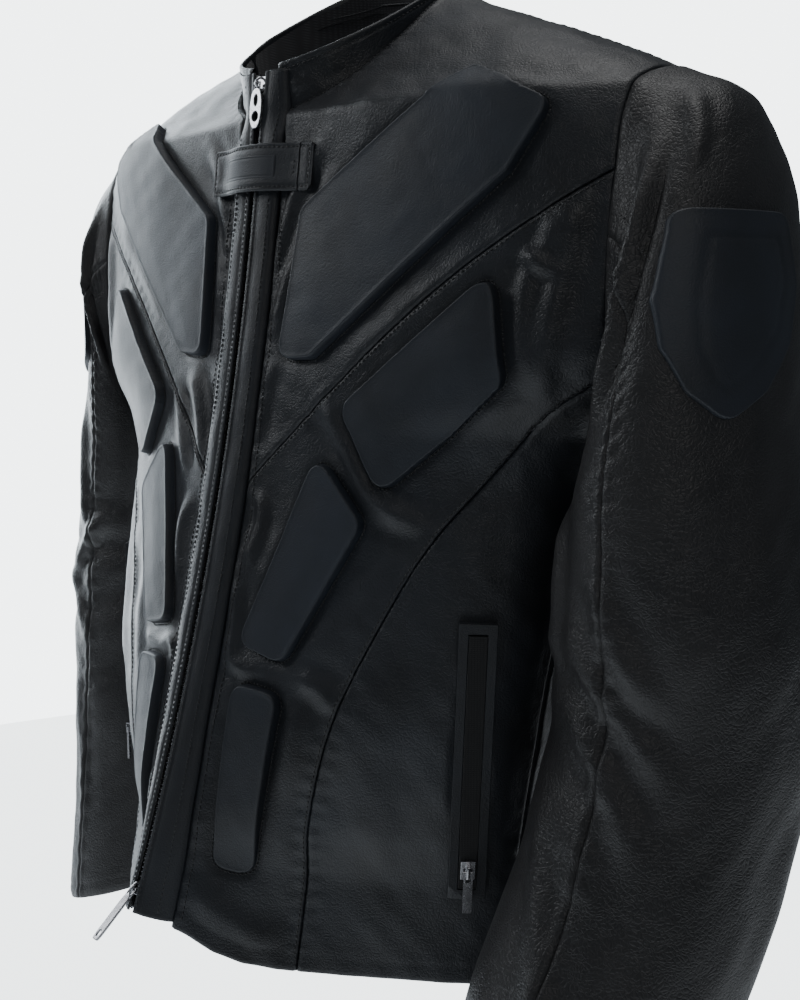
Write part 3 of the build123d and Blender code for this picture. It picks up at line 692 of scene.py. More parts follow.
# ---------------------------------------------------------------- materials
def fill_inputs(tree, node, inputs):
    """Sets a node's inputs: a socket is linked, anything else becomes the input's value."""
    for key, value in inputs.items():
        if isinstance(value, bpy.types.NodeSocket):
            tree.links.new(value, node.inputs[key])
        else:
            node.inputs[key].default_value = value


def add_node(tree, kind, inputs, **settings):
    node = tree.nodes.new("ShaderNode" + kind)
    for key, value in settings.items():
        setattr(node, key, value)
    fill_inputs(tree, node, inputs)
    return node


def colour_ramp(tree, share, low, high, positions=(0.0, 1.0)):
    """Colour that runs from low to high."""
    ramp = add_node(tree, "ValToRGB", {"Fac": share})
    for stop, position, colour in zip(ramp.color_ramp.elements, positions, (low, high)):
        stop.position = position
        stop.color = (*colour, 1)
    return ramp.outputs["Color"]


def value_range(tree, value, **limits):
    """Value moved into other limits, given as to_min, to_max or from_max."""
    inputs = {key.replace("_", " ").title(): limit for key, limit in limits.items()}
    return add_node(tree, "MapRange", {"Value": value, **inputs}).outputs["Result"]


def bumped(tree, height, strength, distance):
    bump = add_node(tree, "Bump", {"Strength": strength, "Distance": distance, "Height": height})
    return bump.outputs["Normal"]


def new_material(name):
    """Material, its node tree, its shader and the socket of its points in metres."""
    material = bpy.data.materials.new(name)
    material.use_nodes = True
    tree = material.node_tree
    place = add_node(tree, "TexCoord", {}).outputs["Object"]
    return material, tree, tree.nodes["Principled BSDF"], place


def leather(name, colour, rough, grain=1.0, bump=0.35, tint=(0.9, 1.0, 1.15)):
    """Grained leather: fine pebble cells, long creases, uneven dye and slight wear."""
    material, tree, shader, place = new_material(name)
    warp = add_node(tree, "TexNoise", {"Scale": 60.0, "Detail": 3.0, "Vector": place}).outputs["Color"]
    warped = add_node(tree, "Mix", {"Factor": 0.012, 4: place, 5: warp}, data_type="VECTOR").outputs[1]

    def cells(scale, edge):
        inputs = {"Scale": scale * grain, "Vector": warped}
        voronoi = add_node(tree, "TexVoronoi", inputs, feature="DISTANCE_TO_EDGE")
        return value_range(tree, voronoi.outputs["Distance"], from_max=edge)

    fine = add_node(tree, "TexNoise", {"Scale": 900.0, "Detail": 2.0, "Vector": place}).outputs["Fac"]
    patch = add_node(tree, "TexNoise", {"Scale": 14.0, "Detail": 4.0, "Vector": place}).outputs["Fac"]
    pebbles = cells(430.0, 0.22)
    creases = add_node(tree, "Math", {0: cells(120.0, 0.10), 1: patch}, operation="MULTIPLY").outputs["Value"]
    coarse = add_node(tree, "Math", {0: pebbles, 1: creases}, operation="ADD").outputs["Value"]
    total = add_node(tree, "Math", {0: fine, 1: 0.5, 2: coarse}, operation="MULTIPLY_ADD").outputs["Value"]
    pale = [c * 1.25 * t for c, t in zip(colour, tint)]
    dark = [c * share for c, share in zip(colour, (0.72, 0.72, 0.74))]
    fill_inputs(tree, shader, {
        "Normal": bumped(tree, total, bump, 0.00035),
        "Base Color": colour_ramp(tree, patch, dark, pale, (0.3, 0.72)),
        "Roughness": value_range(tree, patch, to_min=rough - 0.07, to_max=rough + 0.09),
        "Coat Roughness": 0.3,
    })
    return material


def cloth(name, colour, scale=900.0, rough=0.85, bump=0.4):
    """Plain weave."""
    material, tree, shader, place = new_material(name)
    weaves = []
    for direction in ("X", "Z"):
        inputs = {"Scale": scale / 6, "Distortion": 0.4, "Vector": place}
        weaves.append(add_node(tree, "TexWave", inputs, bands_direction=direction).outputs["Fac"])
    weave = add_node(tree, "Math", {0: weaves[0], 1: weaves[1]}, operation="MULTIPLY").outputs["Value"]
    fill_inputs(tree, shader, {
        "Roughness": rough,
        "Sheen Weight": 0.25,
        "Normal": bumped(tree, weave, bump, 0.0003),
        "Base Color": colour_ramp(tree, weave, [c * 0.6 for c in colour], [min(1, c * 1.3) for c in colour]),
    })
    return material


def metal(name, colour, rough):
    """Polished metal with fine scratches."""
    material, tree, shader, place = new_material(name)
    noise = add_node(tree, "TexNoise", {"Scale": 400.0, "Detail": 5.0, "Vector": place}).outputs["Fac"]
    fill_inputs(tree, shader, {
        "Metallic": 1.0,
        "Roughness": value_range(tree, noise, to_min=rough * 0.6, to_max=rough * 1.5),
        "Base Color": colour_ramp(tree, noise, [c * 0.75 for c in colour], colour),
        "Normal": bumped(tree, noise, 0.08, 0.0002),
    })
    return material


BODY_LEATHER = leather("body_leather", (0.016, 0.017, 0.019), 0.43)
SLEEVE_LEATHER = leather("sleeve_leather", (0.018, 0.0175, 0.018), 0.44,
                         grain=0.9, bump=0.5, tint=(1.0, 1.0, 1.02))
PAD_LEATHER = leather("pad_leather", (0.019, 0.022, 0.027), 0.50, grain=1.15, bump=0.22)
STRAP_LEATHER = leather("strap_leather", (0.017, 0.018, 0.020), 0.47, grain=1.2, bump=0.3)
LABEL_LEATHER = leather("label_leather", (0.026, 0.027, 0.030), 0.55, grain=1.6, bump=0.2)
THREAD = cloth("thread", (0.010, 0.010, 0.011), 2400.0, 0.6, 0.3)
LINING = cloth("lining_cloth", (0.028, 0.028, 0.032))
TAPE = cloth("zip_tape_cloth", (0.012, 0.012, 0.013), 1400.0)
METAL = metal("zip_metal", (0.50, 0.50, 0.52), 0.24)

# ---------------------------------------------------------------- body panels
LEATHER_THICKNESS = 1.4
FRONT_END = 330.0           # a beyond which no front panel reaches
BACK_START = 150.0          # a before which no back panel reaches
front_lines = [placket_line, hem_front, side_seam, neck_edge, armhole_front, diagonal_seam, lower_seam]
front_verts, front_faces = domain_mesh(front_lines, 0, FRONT_END, V_LOW + 10, V_TOP, DOMAIN_STEP)
back_lines = [side_seam, neck_edge, armhole_back, back_seam, yoke_seam,
              resample([(BACK_START, HEM_V), (GIRTH, HEM_V)], SEAM_STEP),
              resample([(GIRTH, HEM_V), (GIRTH, V_TOP)], SEAM_STEP)]
back_verts, back_faces = domain_mesh(back_lines, BACK_START, GIRTH, HEM_V, V_TOP, DOMAIN_STEP)


def centres(verts, faces):
    """Middles of the faces, in the domain and on the bare surface."""
    middle = verts[faces].mean(axis=1)
    return middle, body_point(middle[:, 0], middle[:, 1])


def line_value(line, where, given, wanted):
    """Seam outline's coordinate number wanted at a value of its coordinate number given."""
    line = soften(line, 3)
    line = line[np.argsort(line[:, given])]
    return np.interp(where, line[:, given], line[:, wanted])


middle, place = centres(front_verts, front_faces)
edge_a = np.interp(middle[:, 1], placket_line[:, 1], placket_line[:, 0])
side_a = np.interp(middle[:, 1], side_seam[:, 1], side_seam[:, 0])
hem_v = np.interp(middle[:, 0], hem_front[:, 0], hem_front[:, 1])
inside = (middle[:, 0] > edge_a) & (middle[:, 0] < side_a) & (middle[:, 1] > hem_v)
inside &= (place[:, 0] < ARMHOLE_X) & (neck_value(place) > 0)
above = place[:, 2] > line_value(SEAM_DIAGONAL, place[:, 0], 0, 1)
beyond = place[:, 0] > line_value(SEAM_LOWER, place[:, 2], 1, 0)
beyond &= place[:, 2] < -205
FRONT_PANELS = {
    "front_yoke": inside & above,
    "front_middle": inside & ~above & ~beyond,
    "front_side": inside & ~above & beyond,
}
middle, place = centres(back_verts, back_faces)
side_a = np.interp(middle[:, 1], side_seam[:, 1], side_seam[:, 0])
inside = (middle[:, 0] > side_a) & (middle[:, 0] < GIRTH) & (middle[:, 1] > HEM_V)
inside &= (place[:, 0] < ARMHOLE_X) & (neck_value(place) > 0)
above = place[:, 2] > BACK_YOKE_Z
beyond = place[:, 0] > line_value(BACK_SEAM, place[:, 2], 1, 0)
BACK_PANELS = {
    "back_yoke": inside & above,
    "back_centre": inside & ~above & ~beyond,
    "back_side": inside & ~above & beyond,
}


def panel_points(verts, faces, keep, side):
    """Creased points and triangles of the faces that keep marks, for one half."""
    flat, tris = pick(verts, faces, keep)
    points = body_surface(flat[:, 0], flat[:, 1], side)
    points[flat[:, 0] > GIRTH - 0.02, 0] = 0.0
    return points, tris[:, ::side]


for side_name, side in SIDES:
    for verts, faces, panels in (
        (front_verts, front_faces, FRONT_PANELS),
        (back_verts, back_faces, BACK_PANELS),
    ):
        for name, keep in panels.items():
            if name == "back_yoke":
                continue
            points, tris = panel_points(verts, faces, keep, side)
            piece = f"{name}_panel_{side_name}"
            obj = new_object(piece, points, tris, "shell", BODY_LEATHER)
            thicken(obj, LEATHER_THICKNESS)
            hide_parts(f"{name}_{side_name}")

# The back yoke is one piece from shoulder to shoulder, with no seam down its middle
halves = [panel_points(back_verts, back_faces, BACK_PANELS["back_yoke"], side) for _, side in SIDES]
points = np.vstack([half[0] for half in halves])
tris = np.vstack([halves[0][1], halves[1][1] + len(halves[0][0])])
obj = new_object("back_yoke_panel", points, tris, "shell", BODY_LEATHER)
joined = bmesh.new()
joined.from_mesh(obj.data)
bmesh.ops.remove_doubles(joined, verts=joined.verts, dist=0.0003)
joined.to_mesh(obj.data)
joined.free()
thicken(obj, LEATHER_THICKNESS)
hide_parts("back_yoke")


# ---------------------------------------------------------------- seam stitching of the body
def left_of(way):
    """Unit vectors a quarter turn to the left of 2-D vectors."""
    length = np.maximum(np.hypot(way[:, 0], way[:, 1]), 1e-9)
    return np.stack([-way[:, 1] / length, way[:, 0] / length], axis=1)


def shifted(line, ways, distance):
    """Domain points moved a true distance along unit vectors."""
    scale = GIRTH / np.interp(z_of(line[:, 1]), ROWS, row_length)
    return np.stack([line[:, 0] + ways[:, 0] * distance * scale, line[:, 1] + ways[:, 1] * distance], axis=1)


def offset_line(line, distance):
    """A domain line moved sideways, in true millimetres."""
    return shifted(line, left_of(np.gradient(spread_points(line), axis=0)), distance)


def body_run(line, side, lift=0.15):
    """Points and normals of a run of stitches on the displaced leather."""
    points = body_surface(line[:, 0], line[:, 1], side, lift)
    normals = body_normal(line[:, 0], line[:, 1])
    normals[:, 0] *= side
    return points, normals


def visible_part(line, test):
    """Points of a domain line whose places on the bare surface pass a test."""
    return line[test(body_point(line[:, 0], line[:, 1]))]


BODY_STITCHES = (
    (diagonal_seam, 2.6, lambda p: (p[:, 0] > 27) & (p[:, 0] < 274)),
    (lower_seam, -2.6, lambda p: (p[:, 0] < 274) & (p[:, 2] > -662)),
    (placket_line, -7.0, lambda p: (p[:, 2] > -640) & (p[:, 2] < -88)),
    (neck_edge, 3.2, lambda p: p[:, 0] > 26),
    (neck_edge, -3.2, lambda p: p[:, 0] > 26),
    (back_seam, 2.6, lambda p: (p[:, 0] < 274) & (p[:, 2] > -662)),
    (yoke_seam, 2.6, lambda p: p[:, 0] < 274),
)
for side_name, side in SIDES:
    runs = []
    for line, offset, test in BODY_STITCHES:
        moved = visible_part(offset_line(line, offset), lambda p: (neck_value(p) > 0.01) & test(p))
        if len(moved) > 3:
            runs.append(body_run(moved, side))
    stitches(f"seam_stitches_{side_name}", runs, "shell", THREAD, slot="jacket_leather")


# ---------------------------------------------------------------- moulded pads
# Insets of the rings of points that shape a pad's edge
PAD_STEPS = (0.0, 0.3, 0.7, 1.2, 1.7, 2.3, 3.2, 5.0)
PAD_RISE = 6.0
SHIELD_RISE = 5.0
STITCH_INSET = -1.3
PAD_THREAD = (2.0, 0.9, 3.1)    # length, width and pitch


def inward_ways(loop):
    """Unit vectors into a closed loop."""
    ways = left_of(np.roll(loop, -1, axis=0) - np.roll(loop, 1, axis=0))
    area = np.sum(loop[:, 0] * np.roll(loop[:, 1], -1) - np.roll(loop[:, 0], -1) * loop[:, 1])
    return -ways if area < 0 else ways


def inset_loop(loop, distance):
    """A closed domain loop moved inwards by a true distance."""
    return shifted(loop, inward_ways(spread_points(loop)), distance)


def pad_profile(distance, rise):
    """Height of a pad at a distance in from its edge: a steep rounded wall, a crisp rim and a flat top."""
    wall = np.clip(distance / 1.7, 0, 1)
    height = rise * (1 - (1 - wall) ** 2.6)
    height += 0.30 * hump(distance, 2.0, 0.8)
    height += 0.4 * np.clip((distance - 6) / 22, 0, 1)
    return height - 1.6 * hump(distance, 0, 0.35)


def pad_mesh(loop, rings, true_place, step, row_step, margin):
    """Points and triangles inside a closed loop, and each point's distance from the loop.

    rings are rows of points near the edge, true_place turns points into true millimetres, and a grid
    of points fills the rest.
    """
    points = [tuple(p) for ring in rings for p in ring]
    count = len(loop)
    border = [(i, (i + 1) % count) for i in range(count)]
    tree = tree_of(true_place(loop))
    low, high = loop.min(axis=0), loop.max(axis=0)
    for number, y in enumerate(np.arange(low[1], high[1], row_step)):
        for x in np.arange(low[0] + (step / 2 if number % 2 else 0), high[0], step):
            if gap_to(tree, true_place(np.array([(x, y)]))[0]) > PAD_STEPS[-1] + margin:
                points.append((x, y))
    out = delaunay_2d_cdt([Vector(p) for p in points], border, [], 1, 1e-4)
    verts = np.array([tuple(p) for p in out[0]])
    distance = np.array([gap_to(tree, p) for p in true_place(verts)])
    return verts, np.array(out[2]), distance


for pad_name, loop in PAD_LOOPS.items():
    rings = [inset_loop(loop, d) for d in PAD_STEPS]
    verts, faces, distance = pad_mesh(
        loop, rings, spread_points, DOMAIN_STEP, DOMAIN_STEP * 0.866, 0.6 * DOMAIN_STEP,
    )
    for side_name, side in SIDES:
        height = pad_profile(distance, PAD_RISE)
        if pad_name == "hip":
            fade = np.clip((z_of(verts[:, 1]) + 608) / 60.0, 0, 1)
            height *= 0.3 + 0.7 * fade * fade * (3 - 2 * fade)
        bare = body_point(verts[:, 0], verts[:, 1])
        seen = bare * (side, 1, 1)
        height += 0.5 * waves(seen, 21, 80.0) + 0.12 * waves(seen, 22, 15.0)
        points = bare + body_normal(verts[:, 0], verts[:, 1]) * height[:, None]
        points[:, 0] *= side
        cover = f"{pad_name}_pad_cover_{side_name}"
        obj = new_object(cover, points, faces[:, ::side], "shell", PAD_LEATHER)
        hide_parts(f"{pad_name}_pad_{side_name}")
        outer = inset_loop(loop, STITCH_INSET)
        runs = [body_run(np.vstack([outer, outer[:1]]), side, 0.5)]
        thread = f"{pad_name}_pad_stitches_{side_name}"
        stitches(thread, runs, "shell", THREAD, *PAD_THREAD, slot="pad_leather")

# ---------------------------------------------------------------- lining of the body
LINING_DEPTH = 5.2          # the lining hangs this far inside the bare surface, and puckers inwards
LINING_PUCKER = 0.6
SLEEVE_LINING_DEPTH = 5.0
SLEEVE_LINING_PUCKER = 0.8
cols = 90
v_rows = np.arange(float(v_of(-664)), V_TOP - 2, 7.0)
lining_verts = []
lining_faces = []
for side_name, side in SIDES:
    verts = []
    for v in v_rows:
        start = np.interp(v, placket_line[:, 1], placket_line[:, 0])
        line = np.linspace(start, GIRTH, cols)
        if v > neck_edge[0][1]:
            start = np.interp(v, neck_edge[:, 1], neck_edge[:, 0]) + 2
            line = np.linspace(max(start, line[0]), GIRTH, cols)
        v_here = np.full(cols, v)
        bare = body_point(line, v_here)
        z_low = np.interp(np.abs(bare[:, 0]), [0, 24, 62, 100], [-632, -638, -658, -662])
        z = np.maximum(bare[:, 2], z_low)
        bare = body_point(line, v_of(z))
        height = -LINING_DEPTH - LINING_PUCKER * (waves(bare, 31, 30.0) + 1)
        points = bare + body_normal(line, v_of(z)) * height[:, None]
        points[:, 0] = np.minimum(points[:, 0], ARMHOLE_X - 0.5) * side
        verts.extend(points)
    faces = grid_faces(len(v_rows), cols)
    base = len(lining_verts)
    lining_verts += verts
    lining_faces += [tuple(base + i for i in f[::side]) for f in faces]
lining_faces = [f for f in lining_faces if min(abs(lining_verts[i][0]) for i in f) < ARMHOLE_X - 1.0]
obj = new_object("body_lining", lining_verts, lining_faces, "shell", LINING)
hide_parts("lining_body")

# ---------------------------------------------------------------- sleeves
LEFT_SLEEVE = [
    (278.6, -54.0, 278.6, -262.0, 12.0, 66.0),
    (326.0, -72.0, 276.5, -276.0, 10.0, 78.0),
    (348.0, -112.0, 269.5, -296.0, 6.0, 86.0),
    (362.0, -175.0, 259.0, -320.0, 2.0, 92.0),
    (376.0, -270.0, 247.0, -352.0, -4.0, 96.0),
    (394.0, -370.0, 241.0, -398.0, -10.0, 96.0),
    (400.0, -455.0, 238.0, -452.0, -12.0, 92.0),
    (394.0, -560.0, 236.0, -535.0, -38.0, 90.0),
    (378.0, -680.0, 232.0, -640.0, -92.0, 86.0),
    (356.0, -800.0, 232.0, -755.0, -138.0, 72.0),
]
RIGHT_SLEEVE = [
    (278.6, -54.0, 278.6, -262.0, 12.0, 66.0),
    (320.0, -74.0, 276.5, -276.0, 14.0, 74.0),
    (336.0, -114.0, 269.5, -296.0, 20.0, 78.0),
    (346.0, -178.0, 259.0, -320.0, 24.0, 81.0),
    (364.0, -270.0, 247.0, -352.0, 28.0, 84.0),
    (390.0, -370.0, 241.0, -398.0, 28.0, 84.0),
    (400.0, -455.0, 238.0, -452.0, 24.0, 84.0),
    (392.0, -560.0, 236.0, -535.0, 10.0, 80.0),
    (374.0, -680.0, 234.0, -640.0, -8.0, 76.0),
    (356.0, -800.0, 234.0, -755.0, -34.0, 68.0),
]


class Sleeve:
    """Smooth tube through the sleeve's rings: t from 0 at the armhole to 9 at the cuff, phi round it."""

    def __init__(self, rings, side):
        self.side = side
        rings = np.array(rings)
        self.curves = [smooth_curve(np.arange(len(rings)), rings[:, k]) for k in range(6)]
        # reach of the armhole's outline at each angle, as a share of the first ring
        low, high = rings[0, 3], rings[0, 1]
        self.head = np.array([rings[0, 4], (high + low) / 2, rings[0, 5], (high - low) / 2])
        line = np.vstack([armhole_front, armhole_back[::-1]])
        edge = body_point(line[:, 0], line[:, 1])
        across = (edge[:, 1] - self.head[0]) / self.head[2]
        upward = (edge[:, 2] - self.head[1]) / self.head[3]
        angle = np.arctan2(across, upward)
        order = np.argsort(angle)
        self.head_angle = np.concatenate([angle[order] + turn * 2 * math.pi for turn in (-1, 0, 1)])
        self.head_reach = np.tile(np.hypot(across, upward)[order], 3)

    def point(self, t, phi):
        outer_x, outer_z, inner_x, inner_z, centre_y, depth = [curve(t) for curve in self.curves]
        cx, cz = (outer_x + inner_x) / 2, (outer_z + inner_z) / 2
        ux, uz = (outer_x - inner_x) / 2, (outer_z - inner_z) / 2
        wrapped = (np.asarray(phi) + math.pi) % (2 * math.pi) - math.pi
        extra = np.interp(wrapped, self.head_angle, self.head_reach) - 1.0
        share = np.clip(1 - np.asarray(t) / 0.8, 0, 1) ** 2
        x = cx + ux * np.cos(phi) - 1.8 * share
        y = centre_y + (depth + self.head[2] * extra * share) * np.sin(phi)
        z = cz + (uz + self.head[3] * extra * share) * np.cos(phi)
        return np.stack([x, y, z], axis=-1)

    def normal(self, t, phi):
        along = self.point(np.minimum(t + 0.03, 9), phi) - self.point(np.maximum(t - 0.03, 0), phi)
        around = self.point(t, phi + 0.02) - self.point(t, phi - 0.02)
        normal = np.cross(along, around)
        normal /= np.maximum(np.linalg.norm(normal, axis=-1, keepdims=True), 1e-9)
        outwards = self.point(t, phi) - self.point(t, phi + math.pi)
        flip = np.sign(np.sum(normal * outwards, axis=-1, keepdims=True))
        return normal * np.where(flip == 0, 1, flip)

    def place(self, t, phi, height):
        points = self.point(t, phi) + self.normal(t, phi) * height[..., None]
        points[..., 0] *= self.side
        return points


# Folds of a sleeve: (points (t, phi in degrees), height, width)
SLEEVE_FOLDS = {
    "left": [
        ([(0.5, -50), (1.0, -70), (1.6, -88), (2.4, -104), (3.2, -112)], 9.0, 11),
        ([(0.9, -100), (1.8, -118), (2.8, -126), (3.8, -128)], -5.0, 8),
        ([(0.6, -28), (1.1, -34), (1.8, -44)], 2.6, 9),
        ([(4.5, -98), (5.2, -84), (5.9, -66)], 4.0, 9),
        ([(5.3, -108), (5.8, -84), (6.3, -58)], 4.5, 8),
        ([(5.9, -112), (6.3, -86), (6.8, -62)], 3.6, 8),
        ([(6.7, -124), (7.4, -96), (8.0, -76)], 3.0, 9),
        ([(7.7, -128), (8.2, -98), (8.7, -70)], 3.0, 8),
        ([(3.6, -138), (4.6, -132), (5.8, -130)], 4.5, 10),
        ([(3.0, 30), (4.4, 34), (5.8, 46)], 2.2, 16),
        ([(5.0, 110), (5.7, 84), (6.4, 64)], 3.6, 9),
        ([(3.2, -20), (4.6, -24), (6.0, -14)], 2.0, 14),
        ([(6.2, 10), (7.3, 4), (8.4, 8)], 2.0, 12),
    ],
    "right": [
        ([(0.4, -56), (1.0, -76), (1.8, -96), (2.8, -108)], 6.0, 10),
        ([(3.8, -60), (4.8, -70), (5.6, -84)], 3.6, 10),
        ([(5.2, -104), (5.8, -80), (6.3, -56)], 4.2, 8),
        ([(5.7, -40), (6.3, -66), (6.8, -92)], 3.6, 8),
        ([(7.0, -70), (7.8, -84), (8.5, -92)], 2.6, 10),
        ([(2.0, -30), (3.4, -34), (4.8, -28)], 2.2, 14),
        ([(3.0, -140), (4.6, -132), (5.8, -134)], 3.6, 10),
        ([(4.8, 110), (5.6, 86), (6.3, 66)], 3.4, 9),
    ],
}
DEG = math.pi / 180


SEAM_PHI = (-90.0, 90.0)    # degrees around the sleeve, seen from its outer side
SEAM_PITCH = 2.4            # stitches lie this far beside a sleeve's seam
SLEEVE_RADIUS = 85.0


def sleeve_relief(sleeve, name, t, phi):
    """Height of the leather over the bare sleeve."""
    shape = t.shape
    t1, p1 = t.ravel(), phi.ravel()
    bare = sleeve.point(t1, p1)
    seen = bare * (sleeve.side, 1, 1)
    height = 1.5 * waves(seen, 41, 95.0) + 0.5 * waves(seen, 42, 30.0)
    wrapped = (p1 / DEG + 180) % 360 - 180
    flat = np.stack([t1 * 70.0, wrapped * 1.6], axis=1)
    for line, size, width in SLEEVE_FOLDS[name]:
        scaled = soften(np.array([(a * 70.0, b * 1.6) for a, b in line]), 2)
        distance, where, _ = distance_to_line(flat, scaled)
        taper = np.clip(np.minimum(where, 1 - where) * 4, 0.1, 1)
        height += size * taper * (hump(distance, 0, width) - 0.35 * hump(distance, 2 * width, width))
    # creases across the inside of the elbow
    bend = hump(t1, 5.9, 0.9) * np.clip(np.cos((wrapped + 100) * DEG), 0, 1)
    wave = np.sin(t1 * 8.5 + 1.3 * np.sin(wrapped * DEG * 2))
    height += 2.2 * bend * wave * (0.5 + 0.5 * np.sin(wrapped * DEG * 3 + 1))
    for centre in SEAM_PHI:
        off = np.abs((wrapped - centre + 180) % 360 - 180) * DEG * SLEEVE_RADIUS
        ripple = 0.5 * np.sin(t1 * 34.0 + centre)
        height += ripple * hump(off, 6, 6) + 0.8 * hump(off, 4, 3)
        height -= 1.9 * hump(off, 0, 1.3)
    cap = np.clip(t1 / 0.12, 0, 1)
    height = height * np.clip(t1 / 0.5, 0, 1) + 1.6 * cap * hump(t1, 0, 0.3) - 2.0 * (1 - cap)
    cuff = np.clip((9 - t1) * 13.0, 0, 1)
    height -= 0.6 * hump((9 - t1) * 130.0, 14.0, 1.6) + 1.6 * (1 - cuff) ** 2
    return height.reshape(shape)


def sleeve_run(sleeve, name, t_line, phi_line, lift):
    """Points a little above the sleeve's leather, with its normals."""
    height = sleeve_relief(sleeve, name, t_line, phi_line) + lift
    normals = sleeve.normal(t_line, phi_line) * (sleeve.side, 1, 1)
    return sleeve.place(t_line, phi_line, height), normals


def bend_at_elbow(obj, side):
    """Bakes a piece's placement into its mesh; the piece is not bent at the elbow."""
    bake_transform(obj)


edge_phi = np.array([0, 0.5, 1.0, 1.7, 2.6, 3.6])
phi_half = np.concatenate([
    edge_phi,
    np.linspace(5.2, 174.8, 96),
    180 - edge_phi[::-1],
])
t_rows = np.concatenate([
    np.array([0, 0.03, 0.06, 0.1, 0.15, 0.21, 0.28]),
    np.linspace(0.36, 8.9, 280),
    np.array([8.93, 8.96, 8.98, 9.0]),
])
SLEEVES = {}
for side_name, side in SIDES:
    sleeve = Sleeve(LEFT_SLEEVE if side > 0 else RIGHT_SLEEVE, side)
    SLEEVES[side_name] = sleeve
    for part, start in (("top", -90.0), ("under", 90.0)):
        phis = (start + phi_half) * DEG
        tt, pp = np.meshgrid(t_rows, phis, indexing="ij")
        height = sleeve_relief(sleeve, side_name, tt, pp)
        points = sleeve.place(tt, pp, height)
        verts = points.reshape(-1, 3)
        faces = [f[::side] for f in grid_faces(len(t_rows), len(phis))]
        obj = new_object(f"sleeve_{part}_leather_{side_name}", verts, faces, None, SLEEVE_LEATHER)
        thicken(obj, LEATHER_THICKNESS)
        bend_at_elbow(obj, side)
        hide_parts(f"sleeve_{part}_{side_name}", f"forearm_{part}_{side_name}")
    # lining of the sleeve
    t_lining = np.linspace(0.05, 8.96, 90)
    phis = np.linspace(-180, 180, 61)[:-1] * DEG
    tt, pp = np.meshgrid(t_lining, phis, indexing="ij")
    bare = sleeve.point(tt, pp)
    height = -SLEEVE_LINING_DEPTH - SLEEVE_LINING_PUCKER * (waves(bare, 51, 26.0) + 1)
    verts = sleeve.place(tt, pp, height).reshape(-1, 3)
    faces = grid_faces(len(t_lining), len(phis), True)
    obj = new_object(f"sleeve_lining_{side_name}", verts, faces, None, LINING)
    bend_at_elbow(obj, side)
    if side > 0:
        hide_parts("forearm_lining_left", "lining_upper_sleeves")
    else:
        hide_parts("forearm_lining_right")
    # stitches beside the two sleeve seams and at the cuff
    runs = []
    for centre in SEAM_PHI:
        t_line = np.linspace(0.5, 8.85, 500)
        phi_line = np.full(500, centre * DEG + SEAM_PITCH / SLEEVE_RADIUS)
        runs.append(sleeve_run(sleeve, side_name, t_line, phi_line, 0.1))
    obj = stitches(f"sleeve_stitches_{side_name}", runs, None, THREAD)
    bend_at_elbow(obj, side)
    phi_line = np.linspace(-180, 180, 240) * DEG
    t_line = np.full(240, 8.9)
    run = sleeve_run(sleeve, side_name, t_line, phi_line, 0.1)
    stitches(f"cuff_stitches_{side_name}", [run], f"forearm_{side_name}", THREAD, slot="jacket_leather")


# ---------------------------------------------------------------- shields on the upper arms
def sleeve_params(sleeve, y, z):
    """(t, phi) of the outer side's point at (y, z)."""
    t, phi = 3.0, 0.0
    for _ in range(40):
        here = sleeve.point(np.array(t), np.array(phi))
        error = np.array([y - here[1], z - here[2]])
        if np.abs(error).max() < 0.01:
            break
        dt = (sleeve.point(np.array(t + 0.01), np.array(phi)) - here) / 0.01
        dp = (sleeve.point(np.array(t), np.array(phi + 0.01)) - here) / 0.01
        jac = np.array([[dt[1], dp[1]], [dt[2], dp[2]]])
        step = np.linalg.solve(jac, error)
        t = float(np.clip(t + step[0], 0.3, 8.5))
        phi = float(np.clip(phi + step[1], -1.4, 1.4))
    return t, phi


for side_name, side in SIDES:
    sleeve = SLEEVES[side_name]
    shift = 0.0 if side > 0 else SHIELD_RIGHT_SHIFT
    loop = rounded_loop([(y + shift, z) for y, z in SHIELD_PAD], 12.0, 2.0)
    inwards = inward_ways(loop)
    rings = [loop + inwards * d for d in PAD_STEPS]
    flat, faces, distance = pad_mesh(loop, rings, np.asarray, 2.8, 2.4, 1.6)
    params = np.array([sleeve_params(sleeve, y, z) for y, z in flat])
    height = pad_profile(distance, SHIELD_RISE)
    # plain pressed line that follows the shield's edge
    height -= 0.9 * hump(distance, 16.0, 1.3)
    verts = sleeve.place(params[:, 0], params[:, 1], height)
    cover = f"shield_cover_{side_name}"
    obj = new_object(cover, verts, faces[:, ::side], "shell", PAD_LEATHER)
    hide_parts(f"shield_pad_{side_name}")
    edge = loop + inwards * STITCH_INSET
    edge = np.vstack([edge, edge[:1]])
    params = np.array([sleeve_params(sleeve, y, z) for y, z in edge])
    run = sleeve_run(sleeve, side_name, params[:, 0], params[:, 1], 0.4)
    stitches(f"shield_stitches_{side_name}", [run], "shell", THREAD, *PAD_THREAD, slot="pad_leather")


# ---------------------------------------------------------------- collar
COLLAR_END_X = 15.0         # the collar's front ends stop this far from the zip's middle
COLLAR_THICKNESS = 3.1
COLLAR_LINING_DEPTH = 3.9
COLLAR_STITCHES = (0.86, 0.10)


